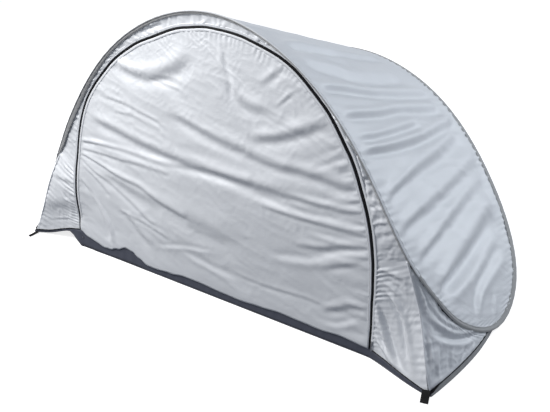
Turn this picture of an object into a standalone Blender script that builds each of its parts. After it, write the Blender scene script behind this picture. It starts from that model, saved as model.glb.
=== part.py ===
"""A pop-up beach tent: one spring hoop bent into a saddle, with fabric panels sewn between it and a groundsheet.

Metres, +Z up. The origin is on the ground under the middle of the tent, -Y is the door side and +X its right.
The tent is the same on both sides of the X = 0 plane, so most pieces are made once for each side.
"""

import math

import bmesh
import bpy
from mathutils import Vector

# Cloth and gaps
CLOTH = 0.0025  # how thick a fabric panel is modelled
GAP = 0.0004  # left between two pieces that are sewn together

# The hoop's own line, right half, from the top of the front arch down to the ground and up to the rear top
HOOP_FRONT = [
    (0.000, -0.520, 1.100),
    (0.430, -0.530, 0.918),
    (0.640, -0.540, 0.665),
    (0.783, -0.532, 0.420),
    (0.920, -0.415, 0.172),
    (0.992, -0.110, 0.0165),
]
HOOP_REAR = [
    (0.000, 0.518, 0.700),
    (0.370, 0.495, 0.600),
    (0.700, 0.385, 0.340),
    (0.962, 0.090, 0.052),
]
FRONT_STEPS = (8, 6, 5, 5, 5)  # sweep steps between the stations of each half
REAR_STEPS = (7, 9, 9, 4)
HALF = sum(FRONT_STEPS)  # steps from the top of an arch to the hoop's end
SEAM_FRONT = sum(FRONT_STEPS[:3])  # step where the corner seam leaves the hoop
SEAM_REAR = sum(REAR_STEPS[:2])
REAR_JOIN = 6  # the widths of the rear wall are joined this many steps to each side of the middle
TIP_STEP = 24  # beyond this step the roof fans out from one point

SLEEVE_HALF_WIDTH = 0.010
SLEEVE_HALF_THICKNESS = 0.005
SLEEVE_CHAMFER = 0.0025

# Groundsheet
CORNER_FRONT = (0.950, -0.600)
CORNER_REAR = (0.700, 0.585)
SIDE_BULGE = (0.972, -0.110)  # the side edge passes just inside the hoop's end
SIDE_LIP = 0.020
GUSSET_END_FRONT = 27  # step where the gusset runs out between hoop and groundsheet
GUSSET_END_REAR = 32
GUSSET_START = 0.075  # the front gusset begins this far down the corner seam
HEM_Y = 0.560  # front and rear hems are straight here, at -HEM_Y and +HEM_Y
HEM_HALF = 0.680  # as far out as this in front
HEM_HALF_REAR = 0.460  # and at the rear
SHEET = 0.003
LIP_HEIGHT = 0.036
LIP_CORNER = 0.012  # the lip runs down to this at the four corners

# Door and zip, in the plane of the front wall
HINGE_Z = 0.040
HEM_RADIUS = HINGE_Z - LIP_HEIGHT - GAP
LEAN = (HEM_Y - 0.520) / (1.100 - HINGE_Z)  # the front wall leans back this much for each metre up
ZIP_HALF_WIDTH = 0.680
ZIP_SPRING_Z = 0.300  # the zip runs straight up to here and then round half an ellipse
ZIP_RISE = 0.750
ZIP_SIDE_TOP_Z = 0.370  # top of the two side panels beside the door
ZIP_SIDE_STEPS = 5
ZIP_CLEAR = 0.0025  # from the zip's middle to each tape
ZIP_TAPE = 0.0055
ZIP_FOOT = LIP_HEIGHT + GAP
DOOR_COLUMNS = 12
DOOR_BELLY = 0.016  # how far the door's middle stands out from the wall

BEAD = 0.0025  # radius of seams, piping and bindings
SEAM_DROP = 0.0024  # a corner seam begins this far below the panel above it

# The webbing loops for pegs at the four corners
LOOP_LEG = 0.034
LOOP_RADIUS = 0.009  # of the webbing's middle, round the end of a loop
LOOP_PLACE = 0.94  # how far a loop stands along the sloping run of the hem towards the corner
LOOP_SKEW = 0.25  # how far a loop leans out to the side for each metre away from the wall
WEBBING = 0.0018
WEBBING_HEIGHT = 0.020

# Slider and puller of the zip, at the bottom right corner of the door
SLIDER_Z = 0.066
SLIDER_LENGTH = 0.018
SLIDER_WIDTH = 0.0058
SLIDER_THICKNESS = 0.004
BRIDGE_REACH = 0.0042  # from the slider's face to the middle of its bridge rod
BRIDGE_HALF = 0.0045
BRIDGE_ROD = 0.0008
PULLER_LENGTH = 0.030
PULLER_WIDTH = 0.0058
PULLER_THICKNESS = 0.0014
PULLER_WINDOW = (0.0036, 0.0060)  # width and height
PULLER_BAR = 0.0016

SILVER = (0.66, 0.69, 0.73)
GREY_TAPE = (0.42, 0.43, 0.44)
GROUND_GREY = (0.17, 0.18, 0.21)
BLACK = (0.02, 0.02, 0.022)
STEEL = (0.70, 0.70, 0.71)


def material(name, colour, roughness, metallic=0.0):
    found = bpy.data.materials.get(name)
    if found:
        return found
    made = bpy.data.materials.new(name)
    made.use_nodes = True
    shader = made.node_tree.nodes["Principled BSDF"]
    shader.inputs["Base Color"].default_value = (*colour, 1.0)
    shader.inputs["Roughness"].default_value = roughness
    shader.inputs["Metallic"].default_value = metallic
    return made


def silver_cloth():
    return material("silver_cloth", SILVER, 0.45, 0.3)


def grey_tape():
    return material("grey_tape", GREY_TAPE, 0.7)


def ground_cloth():
    return material("ground_cloth", GROUND_GREY, 0.6)


def black_webbing():
    return material("black_webbing", BLACK, 0.75)


def steel():
    return material("steel", STEEL, 0.3, 1.0)


def clear_scene():
    for obj in list(bpy.data.objects):
        bpy.data.objects.remove(obj, do_unlink=True)


def add_object(name, bm, finish, parent=None):
    """Turns a bmesh into one named object with its faces pointing out."""
    bm.normal_update()
    bmesh.ops.recalc_face_normals(bm, faces=bm.faces)
    mesh = bpy.data.meshes.new(name)
    bm.to_mesh(mesh)
    bm.free()
    mesh.materials.append(finish)
    mesh.shade_smooth()
    mesh.set_sharp_from_angle(angle=math.radians(40))
    obj = bpy.data.objects.new(name, mesh)
    bpy.context.scene.collection.objects.link(obj)
    if parent:
        obj.parent = parent
    return obj


def mirrored(points):
    return [Vector((-p.x, p.y, p.z)) for p in points]


def solve_cyclic(chords, values):
    """Second derivatives of a closed cubic spline, by relaxation, which settles quickly for such a system."""
    count = len(values)
    bends = [Vector((0, 0, 0)) for _ in range(count)]
    for _ in range(60):
        for k in range(count):
            before, after = chords[k - 1], chords[k]
            rise = (values[(k + 1) % count] - values[k]) / after
            fall = (values[k] - values[k - 1]) / before
            pull = before * bends[k - 1] + after * bends[(k + 1) % count]
            bends[k] = (6 * (rise - fall) - pull) / (2 * (before + after))
    return bends


def closed_spline(stations, steps):
    """Points along a smooth closed curve through the stations, with the given number of steps after each one."""
    count = len(stations)
    chords = [(stations[(k + 1) % count] - stations[k]).length for k in range(count)]
    bends = solve_cyclic(chords, stations)
    points = []
    for k in range(count):
        ahead = (k + 1) % count
        chord = chords[k]
        for step in range(steps[k]):
            t = step / steps[k]
            s = 1 - t
            cubic_s = (s**3 - s) * chord**2 / 6
            cubic_t = (t**3 - t) * chord**2 / 6
            straight = s * stations[k] + t * stations[ahead]
            points.append(straight + cubic_s * bends[k] + cubic_t * bends[ahead])
    return points


def hoop_points():
    """The hoop from the front top, down the right side, up to the rear top and back round the left side."""
    right = [Vector(p) for p in HOOP_FRONT] + [Vector(p) for p in reversed(HOOP_REAR)]
    left = [Vector((-p.x, p.y, p.z)) for p in reversed(right[1:-1])]
    right_steps = FRONT_STEPS + tuple(reversed(REAR_STEPS))
    return closed_spline(right + left, right_steps + tuple(reversed(right_steps)))


class Hoop:
    """The hoop's line, with the directions across the roof and out of it at each step."""

    def __init__(self):
        self.points = hoop_points()
        self.count = len(self.points)
        self.inward = []
        self.outward = []
        middle = Vector((0, 0, 0.25))
        for k in range(self.count):
            tangent = (self.points[(k + 1) % self.count] - self.points[k - 1]).normalized()
            across = self.roof_middle(k) - self.points[k]
            inward = (across - across.dot(tangent) * tangent).normalized()
            outward = tangent.cross(inward)
            if outward.dot(self.points[k] - middle) < 0:
                outward = -outward
            self.inward.append(inward)
            self.outward.append(outward)

    def roof_middle(self, k):
        """The middle of the roof opposite step k. Near an end it stays at one point, the centre of the round tip."""
        side = k if k <= 2 * HALF else self.count - k
        from_top = side if side <= HALF else 2 * HALF - side
        near = min(from_top, TIP_STEP)
        front, rear = near, 2 * HALF - near
        if k > 2 * HALF:
            front, rear = self.count - front, self.count - rear
        return (self.points[front % self.count] + self.points[rear % self.count]) / 2

    def place(self, k, inward=0.0, outward=0.0):
        k %= self.count
        return self.points[k] + inward * self.inward[k] + outward * self.outward[k]

    def under(self, k, towards, reach=0.0):
        """A point just under the sleeve at step k, where a panel that runs towards a point can be sewn on."""
        k %= self.count
        run = (towards - self.points[k]).normalized()
        slant = math.sqrt(max(0.0, 1 - run.dot(self.outward[k]) ** 2)) * CLOTH / 2
        return self.place(k, 0.0, -(SLEEVE_HALF_THICKNESS + GAP + slant + reach))


def sweep(name, points, axes, section, finish, closed=False, parent=None):
    """A section swept along points. axes gives two directions at each point, and section is in their terms."""
    bm = bmesh.new()
    rings = []
    for point, (first, second) in zip(points, axes):
        rings.append([bm.verts.new(point + a * first + b * second) for a, b in section])
    pairs = list(zip(rings, rings[1:]))
    if closed:
        pairs.append((rings[-1], rings[0]))
    for ring, following in pairs:
        for k in range(len(section)):
            j = (k + 1) % len(section)
            bm.faces.new((ring[k], ring[j], following[j], following[k]))
    if not closed:
        bm.faces.new(rings[0])
        bm.faces.new(rings[-1])
    return add_object(name, bm, finish, parent)


def round_section(radius, sides=8):
    turn = math.tau / sides
    return [(radius * math.cos((k + 0.5) * turn), radius * math.sin((k + 0.5) * turn)) for k in range(sides)]


def bead(name, points, finish, radius=BEAD, sides=6, parent=None):
    """A round cord along points, such as a seam or piping."""
    axes = []
    for k in range(len(points)):
        tangent = (points[min(k + 1, len(points) - 1)] - points[max(k - 1, 0)]).normalized()
        guide = Vector((1, 0, 0)) if abs(tangent.x) < 0.8 else Vector((0, 1, 0))
        first = tangent.cross(guide).normalized()
        axes.append((first, tangent.cross(first)))
    return sweep(name, points, axes, round_section(radius, sides), finish, parent=parent)


def panel(name, rows, finish, thickness=CLOTH, parent=None):
    """A sheet through a grid of points, thickened evenly. A row may be a single point, where the sheet ends in a tip."""
    bm = bmesh.new()
    grid = [[bm.verts.new(p) for p in row] for row in rows]
    for upper, lower in zip(grid, grid[1:]):
        for k in range(max(len(upper), len(lower)) - 1):
            corners = [upper[min(k, len(upper) - 1)], upper[min(k + 1, len(upper) - 1)]]
            corners += [lower[min(k + 1, len(lower) - 1)], lower[min(k, len(lower) - 1)]]
            unique = list(dict.fromkeys(corners))
            bm.faces.new(unique)
    obj = add_object(name, bm, finish, parent)
    solid = obj.modifiers.new("thickness", "SOLIDIFY")
    solid.thickness = thickness
    solid.offset = 0.0
    solid.use_even_offset = True
    return obj


def between(start, end, count):
    """count + 1 points on a straight line."""
    return [start.lerp(end, k / count) for k in range(count + 1)]


def make_sleeves(hoop):
    w, t, c = SLEEVE_HALF_WIDTH, SLEEVE_HALF_THICKNESS, SLEEVE_CHAMFER
    section = [(w, c), (w - c, t), (c - w, t), (-w, c), (-w, -c), (c - w, -t), (w - c, -t), (w, -c)]
    quarters = ("front_right", "rear_right", "rear_left", "front_left")
    for quarter, name in enumerate(quarters):
        steps = [k % hoop.count for k in range(quarter * HALF, (quarter + 1) * HALF + 1)]
        points = [hoop.points[k] for k in steps]
        # Where two lengths of sleeve meet, each one stops half a gap short
        for end, neighbour in ((0, 1), (-1, -2)):
            points[end] = points[end] + (points[neighbour] - points[end]).normalized() * GAP / 2
        axes = [(hoop.inward[k], hoop.outward[k]) for k in steps]
        sweep(f"hoop_sleeve_{name}", points, axes, section, grey_tape())


def make_roof(hoop):
    """The roof is ruled from the front arch to the rear arch and ends in a tip at each end of the hoop."""
    edge = SLEEVE_HALF_WIDTH + GAP
    rows = []
    for step in range(-HALF, HALF + 1):
        front = hoop.place(step, edge)
        rear = hoop.place(2 * HALF - step, edge)
        rows.append([front] if abs(step) == HALF else between(front, rear, 8))
    panel("roof_panel", rows, silver_cloth())


def wall_point(x, z, out=0.0):
    """A point in the plane of the front wall. out is how far it stands forward of it."""
    return Vector((x, -HEM_Y + LEAN * (z - HINGE_Z) - out, z))


def zip_middle(step, foot):
    """The right half of the zip's line, in the wall's plane, as (x, z). Step 0 is the top."""
    low = math.asin((ZIP_SIDE_TOP_Z - ZIP_SPRING_Z) / ZIP_RISE)
    if step <= SEAM_FRONT:
        angle = math.pi / 2 + (low - math.pi / 2) * step / SEAM_FRONT
        return ZIP_HALF_WIDTH * math.cos(angle), ZIP_SPRING_Z + ZIP_RISE * math.sin(angle)
    share = (step - SEAM_FRONT) / ZIP_SIDE_STEPS
    top_x = ZIP_HALF_WIDTH * math.cos(low)
    x = top_x + (ZIP_HALF_WIDTH - top_x) * min(1.0, share * 3)
    return x, ZIP_SIDE_TOP_Z + (foot - ZIP_SIDE_TOP_Z) * share


ZIP_STEPS = SEAM_FRONT + ZIP_SIDE_STEPS


def zip_point(step, offset, foot=ZIP_FOOT):
    """A point beside the zip's line. offset is positive on the wall's side, and step 0 is the top."""
    side = 1 if step >= 0 else -1
    here = abs(step)
    x, z = zip_middle(here, foot)
    if here == 0:
        return wall_point(0.0, z + offset)
    if here == ZIP_STEPS:
        return wall_point(side * (x + offset), z)
    x0, z0 = zip_middle(here - 1, foot)
    x1, z1 = zip_middle(here + 1, foot)
    length = math.hypot(x1 - x0, z1 - z0)
    return wall_point(side * (x + offset * (z0 - z1) / length), z + offset * (x1 - x0) / length)


def lip_top(share):
    """Height of the front and rear lips. share runs from 0 where the hem is straight to 1 at the corner."""
    return LIP_HEIGHT + (LIP_CORNER - LIP_HEIGHT) * min(1.0, max(0.0, share))


def hem_point(x, up=0.0, rear=False):
    """A point above the middle of the front or rear lip's edge."""
    corner = CORNER_REAR if rear else CORNER_FRONT
    straight = HEM_HALF_REAR if rear else HEM_HALF
    share = min(1.0, max(0.0, (abs(x) - straight) / (corner[0] - straight)))
    y = HEM_Y + (abs(corner[1]) - CLOTH / 2 - HEM_Y) * share
    return Vector((x, y if rear else -y, lip_top(share) + up))


def side_point(y, side, up=0.0):
    """A point above the middle of a side lip's edge."""
    knots = (CORNER_FRONT, SIDE_BULGE, CORNER_REAR)
    x = 0.0
    for knot in knots:
        weight = 1.0
        for other in knots:
            if other is not knot:
                weight *= (y - other[1]) / (knot[1] - other[1])
        x += weight * (knot[0] - CLOTH / 2)
    end = CORNER_FRONT if y < SIDE_BULGE[1] else CORNER_REAR
    share = abs((y - SIDE_BULGE[1]) / (end[1] - SIDE_BULGE[1]))
    return Vector((side * x, y, SIDE_LIP + (LIP_CORNER - SIDE_LIP) * share + up))


def corner_seam(hoop, side, rear=False):
    """The seam from the hoop down to a corner, as points from the top."""
    step = 2 * HALF - SEAM_REAR if rear else SEAM_FRONT
    corner = CORNER_REAR if rear else CORNER_FRONT
    direction = -1 if rear else 1
    foot = Vector((side * (corner[0] - 0.009), corner[1] + direction * 0.009, LIP_CORNER + 0.0075))
    top = hoop.under(side * step, foot, BEAD + 2 * GAP)
    top = top + (foot - top).normalized() * SEAM_DROP
    return between(top, foot, ZIP_SIDE_STEPS)


def beside_seam(point, along, towards):
    """The edge of a panel that is sewn to a seam running along a direction. The panel runs towards a point."""
    across = towards - point
    across = across - across.dot(along) * along
    return point + across.normalized() * (BEAD + 2 * GAP)


def seated(top, foot):
    """Lifts a panel's foot by as much as its lower corner dips because the panel slopes."""
    run = top - foot
    slope = math.hypot(run.x, run.y) / run.length
    return foot + Vector((0, 0, slope * CLOTH / 2 + GAP / 2))


def make_front_wall(hoop):
    edge = ZIP_CLEAR + ZIP_TAPE + 2 * GAP
    rows = []
    for step in range(-SEAM_FRONT, SEAM_FRONT + 1):
        inner = zip_point(step, edge)
        rows.append(between(hoop.under(step, inner), inner, 3))
    panel("front_arch_panel", rows, silver_cloth())
    for side, name in ((1, "right"), (-1, "left")):
        seam = corner_seam(hoop, side)
        along = (seam[-1] - seam[0]).normalized()
        above = rows[-1] if side == 1 else rows[0]
        run = (above[-1] - above[0]).normalized()
        side_rows = []
        for k in range(ZIP_SIDE_STEPS + 1):
            inner = zip_point(side * (SEAM_FRONT + k), edge)
            side_rows.append(between(beside_seam(seam[k], along, inner), inner, 4))
        # The top edge follows the panel above and the bottom edge the binding on the lip
        drop = Vector((0, 0, -2 * GAP))
        first = above[0] + run * ((seam[0] - above[0]).dot(run) + BEAD + 2 * GAP)
        side_rows[0] = between(first + drop, above[-1] + drop, 4)
        start, end = side_rows[-1][0].x, side_rows[-1][-1].x
        side_rows[-1] = [hem_point(start + (end - start) * k / 4, 2 * BEAD + 2 * GAP) for k in range(5)]
        panel(f"front_side_panel_{name}", side_rows, silver_cloth())


def make_zip(hoop):
    near, far = ZIP_CLEAR, ZIP_CLEAR + ZIP_TAPE
    steps = range(-ZIP_STEPS, ZIP_STEPS + 1)
    panel("zip_tape_frame", [[zip_point(k, near), zip_point(k, far)] for k in steps], black_webbing())
    foot = HINGE_Z + HEM_RADIUS + GAP
    panel("zip_tape_door", [[zip_point(k, -near, foot), zip_point(k, -far, foot)] for k in steps], black_webbing())


def make_door():
    """The door's cloth bellies out a little, and its foot is a round hem on the line that the door folds about."""
    edge = -(ZIP_CLEAR + ZIP_TAPE + 2 * GAP)
    foot = HINGE_Z + HEM_RADIUS + GAP
    height = ZIP_SPRING_Z + ZIP_RISE - foot
    rows = []
    for step in range(ZIP_STEPS + 1):
        right = zip_point(step, edge, foot)
        if step == 0:
            rows.append([right])
            continue
        up = (right.z - foot) / height
        row = []
        for k in range(DOOR_COLUMNS + 1):
            across = 2 * k / DOOR_COLUMNS - 1
            belly = DOOR_BELLY * (1 - across**2) * 4 * up * (1 - up)
            row.append(wall_point(across * right.x, right.z, belly))
        rows.append(row)
    panel("door_panel", rows, silver_cloth())
    end = ZIP_HALF_WIDTH - ZIP_CLEAR - 0.003
    line = [Vector((end * (k / 6 - 1), -HEM_Y, HINGE_Z)) for k in range(13)]
    bead("door_hem", line, silver_cloth(), HEM_RADIUS, 10)


def make_rear_wall(hoop):
    rows = []
    straight = SEAM_REAR - 4
    outer = CORNER_REAR[0] - 0.014
    for step in range(-SEAM_REAR, SEAM_REAR + 1):
        reach = abs(step)
        x = HEM_HALF_REAR * min(reach, straight) / straight + (outer - HEM_HALF_REAR) * max(0, reach - straight) / 4
        foot = hem_point(math.copysign(x, -step), GAP, True)
        top = hoop.under(2 * HALF + step, foot)
        rows.append(between(top, seated(top, foot), 6))
    for edge, beside, side in ((0, 1, 1), (-1, -2, -1)):
        seam = corner_seam(hoop, side, True)
        along = (seam[-1] - seam[0]).normalized()
        foot = rows[edge][-1]
        rows[edge] = [beside_seam(seam[0].lerp(seam[-1], k / 6), along, rows[beside][k]) for k in range(7)]
        under = rows[edge][0] + hoop.outward[(2 * HALF + (-SEAM_REAR if side == 1 else SEAM_REAR))] * BEAD * 0.5
        rows[edge][0] = under
        rows[edge][-1] = Vector((rows[edge][-1].x, foot.y, foot.z))
    # The wall is three widths of cloth, with a narrow gap at each join
    join = SEAM_REAR - REAR_JOIN
    apart = Vector((GAP * 0.7, 0, 0))
    right = rows[: join + 1]
    middle = rows[join : -join]
    left = rows[-join - 1 :]
    right[-1] = [p + apart for p in right[-1]]
    middle[0] = [p - apart for p in middle[0]]
    middle[-1] = [p + apart for p in middle[-1]]
    left[0] = [p - apart for p in left[0]]
    for name, width in (("right", right), ("middle", middle), ("left", left)):
        panel(f"rear_wall_{name}", width, silver_cloth())


def make_gussets(hoop):
    """The panels between a corner seam, the hoop and the side lip."""
    for side, name in ((1, "right"), (-1, "left")):
        seam = corner_seam(hoop, side)
        reach = 2 * BEAD + GAP
        rows = []
        for step in range(SEAM_FRONT + 1, GUSSET_END_FRONT + 1):
            share = (step - SEAM_FRONT) / (GUSSET_END_FRONT - SEAM_FRONT)
            foot = side_point(CORNER_FRONT[1] + 0.012 + 0.33 * share, side, 2 * BEAD + 2 * GAP)
            top = hoop.under(side * step, foot, reach)
            rows.append(between(top, seated(top, foot), 5))
        top = seam[0].lerp(seam[-1], GUSSET_START)
        rows.insert(0, gusset_edge(top, seam[-1], rows[0]))
        panel(f"gusset_front_{name}", rows, silver_cloth())

        seam = corner_seam(hoop, side, True)
        rows = []
        last = 2 * HALF - SEAM_REAR
        for step in range(last - 1, GUSSET_END_REAR - 1, -1):
            share = (last - step) / (last - GUSSET_END_REAR)
            foot = side_point(CORNER_REAR[1] - 0.012 - 0.52 * share, side, GAP)
            top = hoop.under(side * step, foot)
            rows.append(between(top, seated(top, foot), 5))
        rows.insert(0, gusset_edge(seam[0].lerp(seam[-1], 0.012), seam[-1], rows[0]))
        panel(f"gusset_rear_{name}", rows, silver_cloth())


def gusset_edge(top, foot, beside):
    """A gusset's edge along a corner seam, down to the level of the row beside it."""
    along = (foot - top).normalized()
    return [beside_seam(p, along, q) for p, q in zip(between(top, foot, 5), beside)]


def make_seams(hoop):
    for side, name in ((1, "right"), (-1, "left")):
        bead(f"corner_seam_front_{name}", corner_seam(hoop, side), silver_cloth())
        bead(f"corner_seam_rear_{name}", corner_seam(hoop, side, True), silver_cloth())
        reach = SLEEVE_HALF_THICKNESS + GAP + BEAD
        steps = range(SEAM_FRONT, GUSSET_END_FRONT + 1)
        line = [hoop.place(side * step, 0.0, -reach) for step in steps]
        line[0] = line[0].lerp(line[1], 0.3)
        bead(f"hoop_piping_{name}", line, black_webbing())
        line = []
        for k in range(7):
            x = ZIP_HALF_WIDTH + 0.010 + (CORNER_FRONT[0] - 0.006 - ZIP_HALF_WIDTH - 0.010) * k / 6
            line.append(hem_point(side * x, GAP + BEAD))
        bead(f"hem_binding_{name}", line, black_webbing())
        line = [side_point(CORNER_FRONT[1] + 0.0095 + 0.055 * k, side, GAP + BEAD) for k in range(7)]
        bead(f"side_piping_{name}", line, black_webbing())


def make_ground(hoop):
    """The groundsheet, with a low lip of the same cloth standing on its edge all round."""
    side_ys = [CORNER_FRONT[1] + (CORNER_REAR[1] - CORNER_FRONT[1]) * k / 16 for k in range(17)]
    half = CLOTH / 2
    outline = []
    for x in (-HEM_HALF, HEM_HALF):
        outline.append(Vector((x, -HEM_Y - half, 0)))
    outline += [side_point(y, 1) + Vector((half, 0, 0)) for y in side_ys]
    outline += [Vector((x, HEM_Y + half, 0)) for x in (HEM_HALF_REAR, -HEM_HALF_REAR)]
    outline += [side_point(y, -1) - Vector((half, 0, 0)) for y in reversed(side_ys)]
    bm = bmesh.new()
    low = [bm.verts.new((p.x, p.y, 0)) for p in outline]
    high = [bm.verts.new((p.x, p.y, SHEET)) for p in outline]
    for k in range(len(outline)):
        j = (k + 1) % len(outline)
        bm.faces.new((low[k], low[j], high[j], high[k]))
    bm.faces.new(low)
    bm.faces.new(high)
    add_object("groundsheet", bm, ground_cloth())

    base = SHEET + GAP
    for rear, name in ((False, "front"), (True, "rear")):
        corner = (CORNER_REAR if rear else CORNER_FRONT)[0]
        straight = HEM_HALF_REAR if rear else HEM_HALF
        between_them = (corner + straight) / 2
        right = [straight / 2, straight, between_them, corner]
        xs = [-x for x in reversed(right)] + [0.0] + right
        tops = [hem_point(x, 0.0, rear) for x in xs]
        panel(f"lip_{name}", [[Vector((p.x, p.y, base)), p] for p in tops], ground_cloth())
    start, end = CORNER_FRONT[1] + CLOTH + 3 * GAP, CORNER_REAR[1] - CLOTH - 3 * GAP
    for side, name in ((1, "right"), (-1, "left")):
        tops = [side_point(start + (end - start) * k / 14, side) for k in range(15)]
        panel(f"lip_side_{name}", [[Vector((p.x, p.y, base)), p] for p in tops], ground_cloth())


def make_corner_loops():
    for rear, end in ((False, "front"), (True, "rear")):
        corner = CORNER_REAR if rear else CORNER_FRONT
        way = 1 if rear else -1
        for side, name in ((1, "right"), (-1, "left")):
            forward = Vector((side * LOOP_SKEW, way, 0)).normalized()
            across = Vector((forward.y, -forward.x, 0))
            straight = HEM_HALF_REAR if rear else HEM_HALF
            start = hem_point(side * (straight + (corner[0] - straight) * LOOP_PLACE), 0, rear)
            start.z = 0.0
            clear = CLOTH / 2 + 2.5 * GAP if rear else BEAD + 2 * GAP
            legs = []
            for turn in (-1, 1):
                foot = start + turn * across * LOOP_RADIUS
                foot.y = hem_point(foot.x, 0, rear).y + way * clear
                legs.append(foot)
            centre = start + forward * LOOP_LEG
            line = [legs[0]]
            for k in range(9):
                angle = math.pi * k / 8
                line.append(centre - across * LOOP_RADIUS * math.cos(angle) + forward * LOOP_RADIUS * math.sin(angle))
            line.append(legs[1])
            low, high = Vector((0, 0, 0.0006)), Vector((0, 0, 0.0006 + WEBBING_HEIGHT))
            rows = [[p + low, p + high] for p in line]
            panel(f"peg_loop_{end}_{name}", rows, black_webbing(), WEBBING)


def box(name, centre, size, finish, axes=None):
    bm = bmesh.new()
    bmesh.ops.create_cube(bm, size=1.0)
    first, second, third = axes or (Vector((1, 0, 0)), Vector((0, 1, 0)), Vector((0, 0, 1)))
    for v in bm.verts:
        v.co = centre + first * v.co.x * size[0] + second * v.co.y * size[1] + third * v.co.z * size[2]
    return add_object(name, bm, finish)


def add_union(target, other):
    """Joins another object into target and leaves it out of the build."""
    other.hide_render = True
    other.display_type = "WIRE"
    join = target.modifiers.new("join", "BOOLEAN")
    join.operation = "UNION"
    join.solver = "EXACT"
    join.object = other


def make_slider():
    """The slider sits on the wall's half of the zip, with a bridge that the puller hangs from."""
    up = Vector((0, LEAN, 1)).normalized()
    right = Vector((1, 0, 0))
    out = up.cross(right) * -1
    if out.y > 0:
        out = -out
    face = CLOTH / 2 + 1.5 * GAP
    centre = wall_point(ZIP_HALF_WIDTH + ZIP_CLEAR + SLIDER_WIDTH / 2, SLIDER_Z) + out * (face + SLIDER_THICKNESS / 2)
    size = (SLIDER_WIDTH, SLIDER_THICKNESS, SLIDER_LENGTH)
    slider = box("zip_slider", centre, size, steel(), (right, out, up))
    bridge_foot = centre + out * (SLIDER_THICKNESS / 2 - 0.0008)
    line = []
    reach = BRIDGE_REACH + 0.0008
    for k in range(9):
        angle = math.pi * k / 8
        squared = 1 / max(abs(math.cos(angle)), math.sin(angle)) ** 0.5
        line.append(bridge_foot + up * BRIDGE_HALF * math.cos(angle) * squared + out * reach * math.sin(angle) * squared)
    bridge = sweep("zip_slider_bridge", line, [(right, radial_axis(line, k, right)) for k in range(9)],
                   round_section(BRIDGE_ROD, 8), steel())
    add_union(slider, bridge)

    pivot = centre + out * (SLIDER_THICKNESS / 2 + 0.0017)
    width, height = PULLER_WINDOW
    rim = (PULLER_WIDTH - width) / 2
    half_bar = PULLER_BAR / 2
    bm = bmesh.new()
    outer = [(-PULLER_WIDTH / 2, half_bar), (PULLER_WIDTH / 2, half_bar),
             (PULLER_WIDTH / 2 - 0.001, half_bar - PULLER_LENGTH), (0.001 - PULLER_WIDTH / 2, half_bar - PULLER_LENGTH)]
    inner = [(-width / 2, -half_bar), (width / 2, -half_bar), (width / 2, -half_bar - height),
             (-width / 2, -half_bar - height)]
    depth = PULLER_THICKNESS / 2
    loops = []
    for ring in (outer, inner):
        for d in (-depth, depth):
            loops.append([bm.verts.new(pivot + right * a + up * b + out * d) for a, b in ring])
    for k in range(4):
        j = (k + 1) % 4
        bm.faces.new((loops[0][k], loops[0][j], loops[1][j], loops[1][k]))
        bm.faces.new((loops[2][k], loops[2][j], loops[3][j], loops[3][k]))
        bm.faces.new((loops[0][k], loops[0][j], loops[2][j], loops[2][k]))
        bm.faces.new((loops[1][k], loops[1][j], loops[3][j], loops[3][k]))
    add_object("zip_puller", bm, steel())


def radial_axis(line, k, right):
    tangent = (line[min(k + 1, len(line) - 1)] - line[max(k - 1, 0)]).normalized()
    return tangent.cross(right)


def make_zip_stops():
    up = Vector((0, LEAN, 1)).normalized()
    out = Vector((0, -1, LEAN)).normalized()
    for side, name in ((1, "right"), (-1, "left")):
        x = side * (ZIP_HALF_WIDTH + ZIP_CLEAR + 0.0028)
        centre = wall_point(x, ZIP_FOOT + 0.008) + out * (CLOTH / 2 + GAP + 0.0008)
        box(f"zip_stop_{name}", centre, (0.0048, 0.0016, 0.006), steel(), (Vector((1, 0, 0)), out, up))


def main():
    clear_scene()
    hoop = Hoop()
    make_sleeves(hoop)
    make_roof(hoop)
    make_front_wall(hoop)
    make_zip(hoop)
    make_door()
    make_rear_wall(hoop)
    make_gussets(hoop)
    make_seams(hoop)
    make_ground(hoop)
    make_corner_loops()
    make_slider()
    make_zip_stops()


main()
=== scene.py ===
"""The looks of a pop-up beach tent: creased silver cloth on a sprung hoop, with a zipped front.

Metres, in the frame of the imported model: +Z up, -Y is the door side and +X its right. Numbers in capitals that
are also in the model's source say the same there, so that each piece lies where its solid is.
"""

import math

import bmesh
import bpy
import numpy as np
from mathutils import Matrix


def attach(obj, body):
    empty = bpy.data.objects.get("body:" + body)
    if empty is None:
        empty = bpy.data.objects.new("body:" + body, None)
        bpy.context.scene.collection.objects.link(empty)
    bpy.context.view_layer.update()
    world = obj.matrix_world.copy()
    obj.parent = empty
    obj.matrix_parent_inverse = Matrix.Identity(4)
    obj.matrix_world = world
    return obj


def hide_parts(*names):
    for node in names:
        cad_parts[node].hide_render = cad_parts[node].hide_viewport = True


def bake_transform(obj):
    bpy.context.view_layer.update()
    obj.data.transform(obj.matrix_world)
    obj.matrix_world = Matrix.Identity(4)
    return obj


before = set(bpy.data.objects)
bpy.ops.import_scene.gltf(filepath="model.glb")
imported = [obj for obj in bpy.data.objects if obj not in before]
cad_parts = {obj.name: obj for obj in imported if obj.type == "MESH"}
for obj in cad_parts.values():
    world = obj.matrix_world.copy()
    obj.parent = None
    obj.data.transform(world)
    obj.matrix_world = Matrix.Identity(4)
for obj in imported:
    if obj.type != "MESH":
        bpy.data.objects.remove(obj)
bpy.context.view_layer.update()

# The photograph's view: where the camera stands, what it looks at, and how long its lens is
CAMERA = (1.6986, -2.7030, 1.8683)
TARGET = (0.0149, -0.1500, 0.2180)
LENS = 55.64
SENSOR = 36.0

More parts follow.
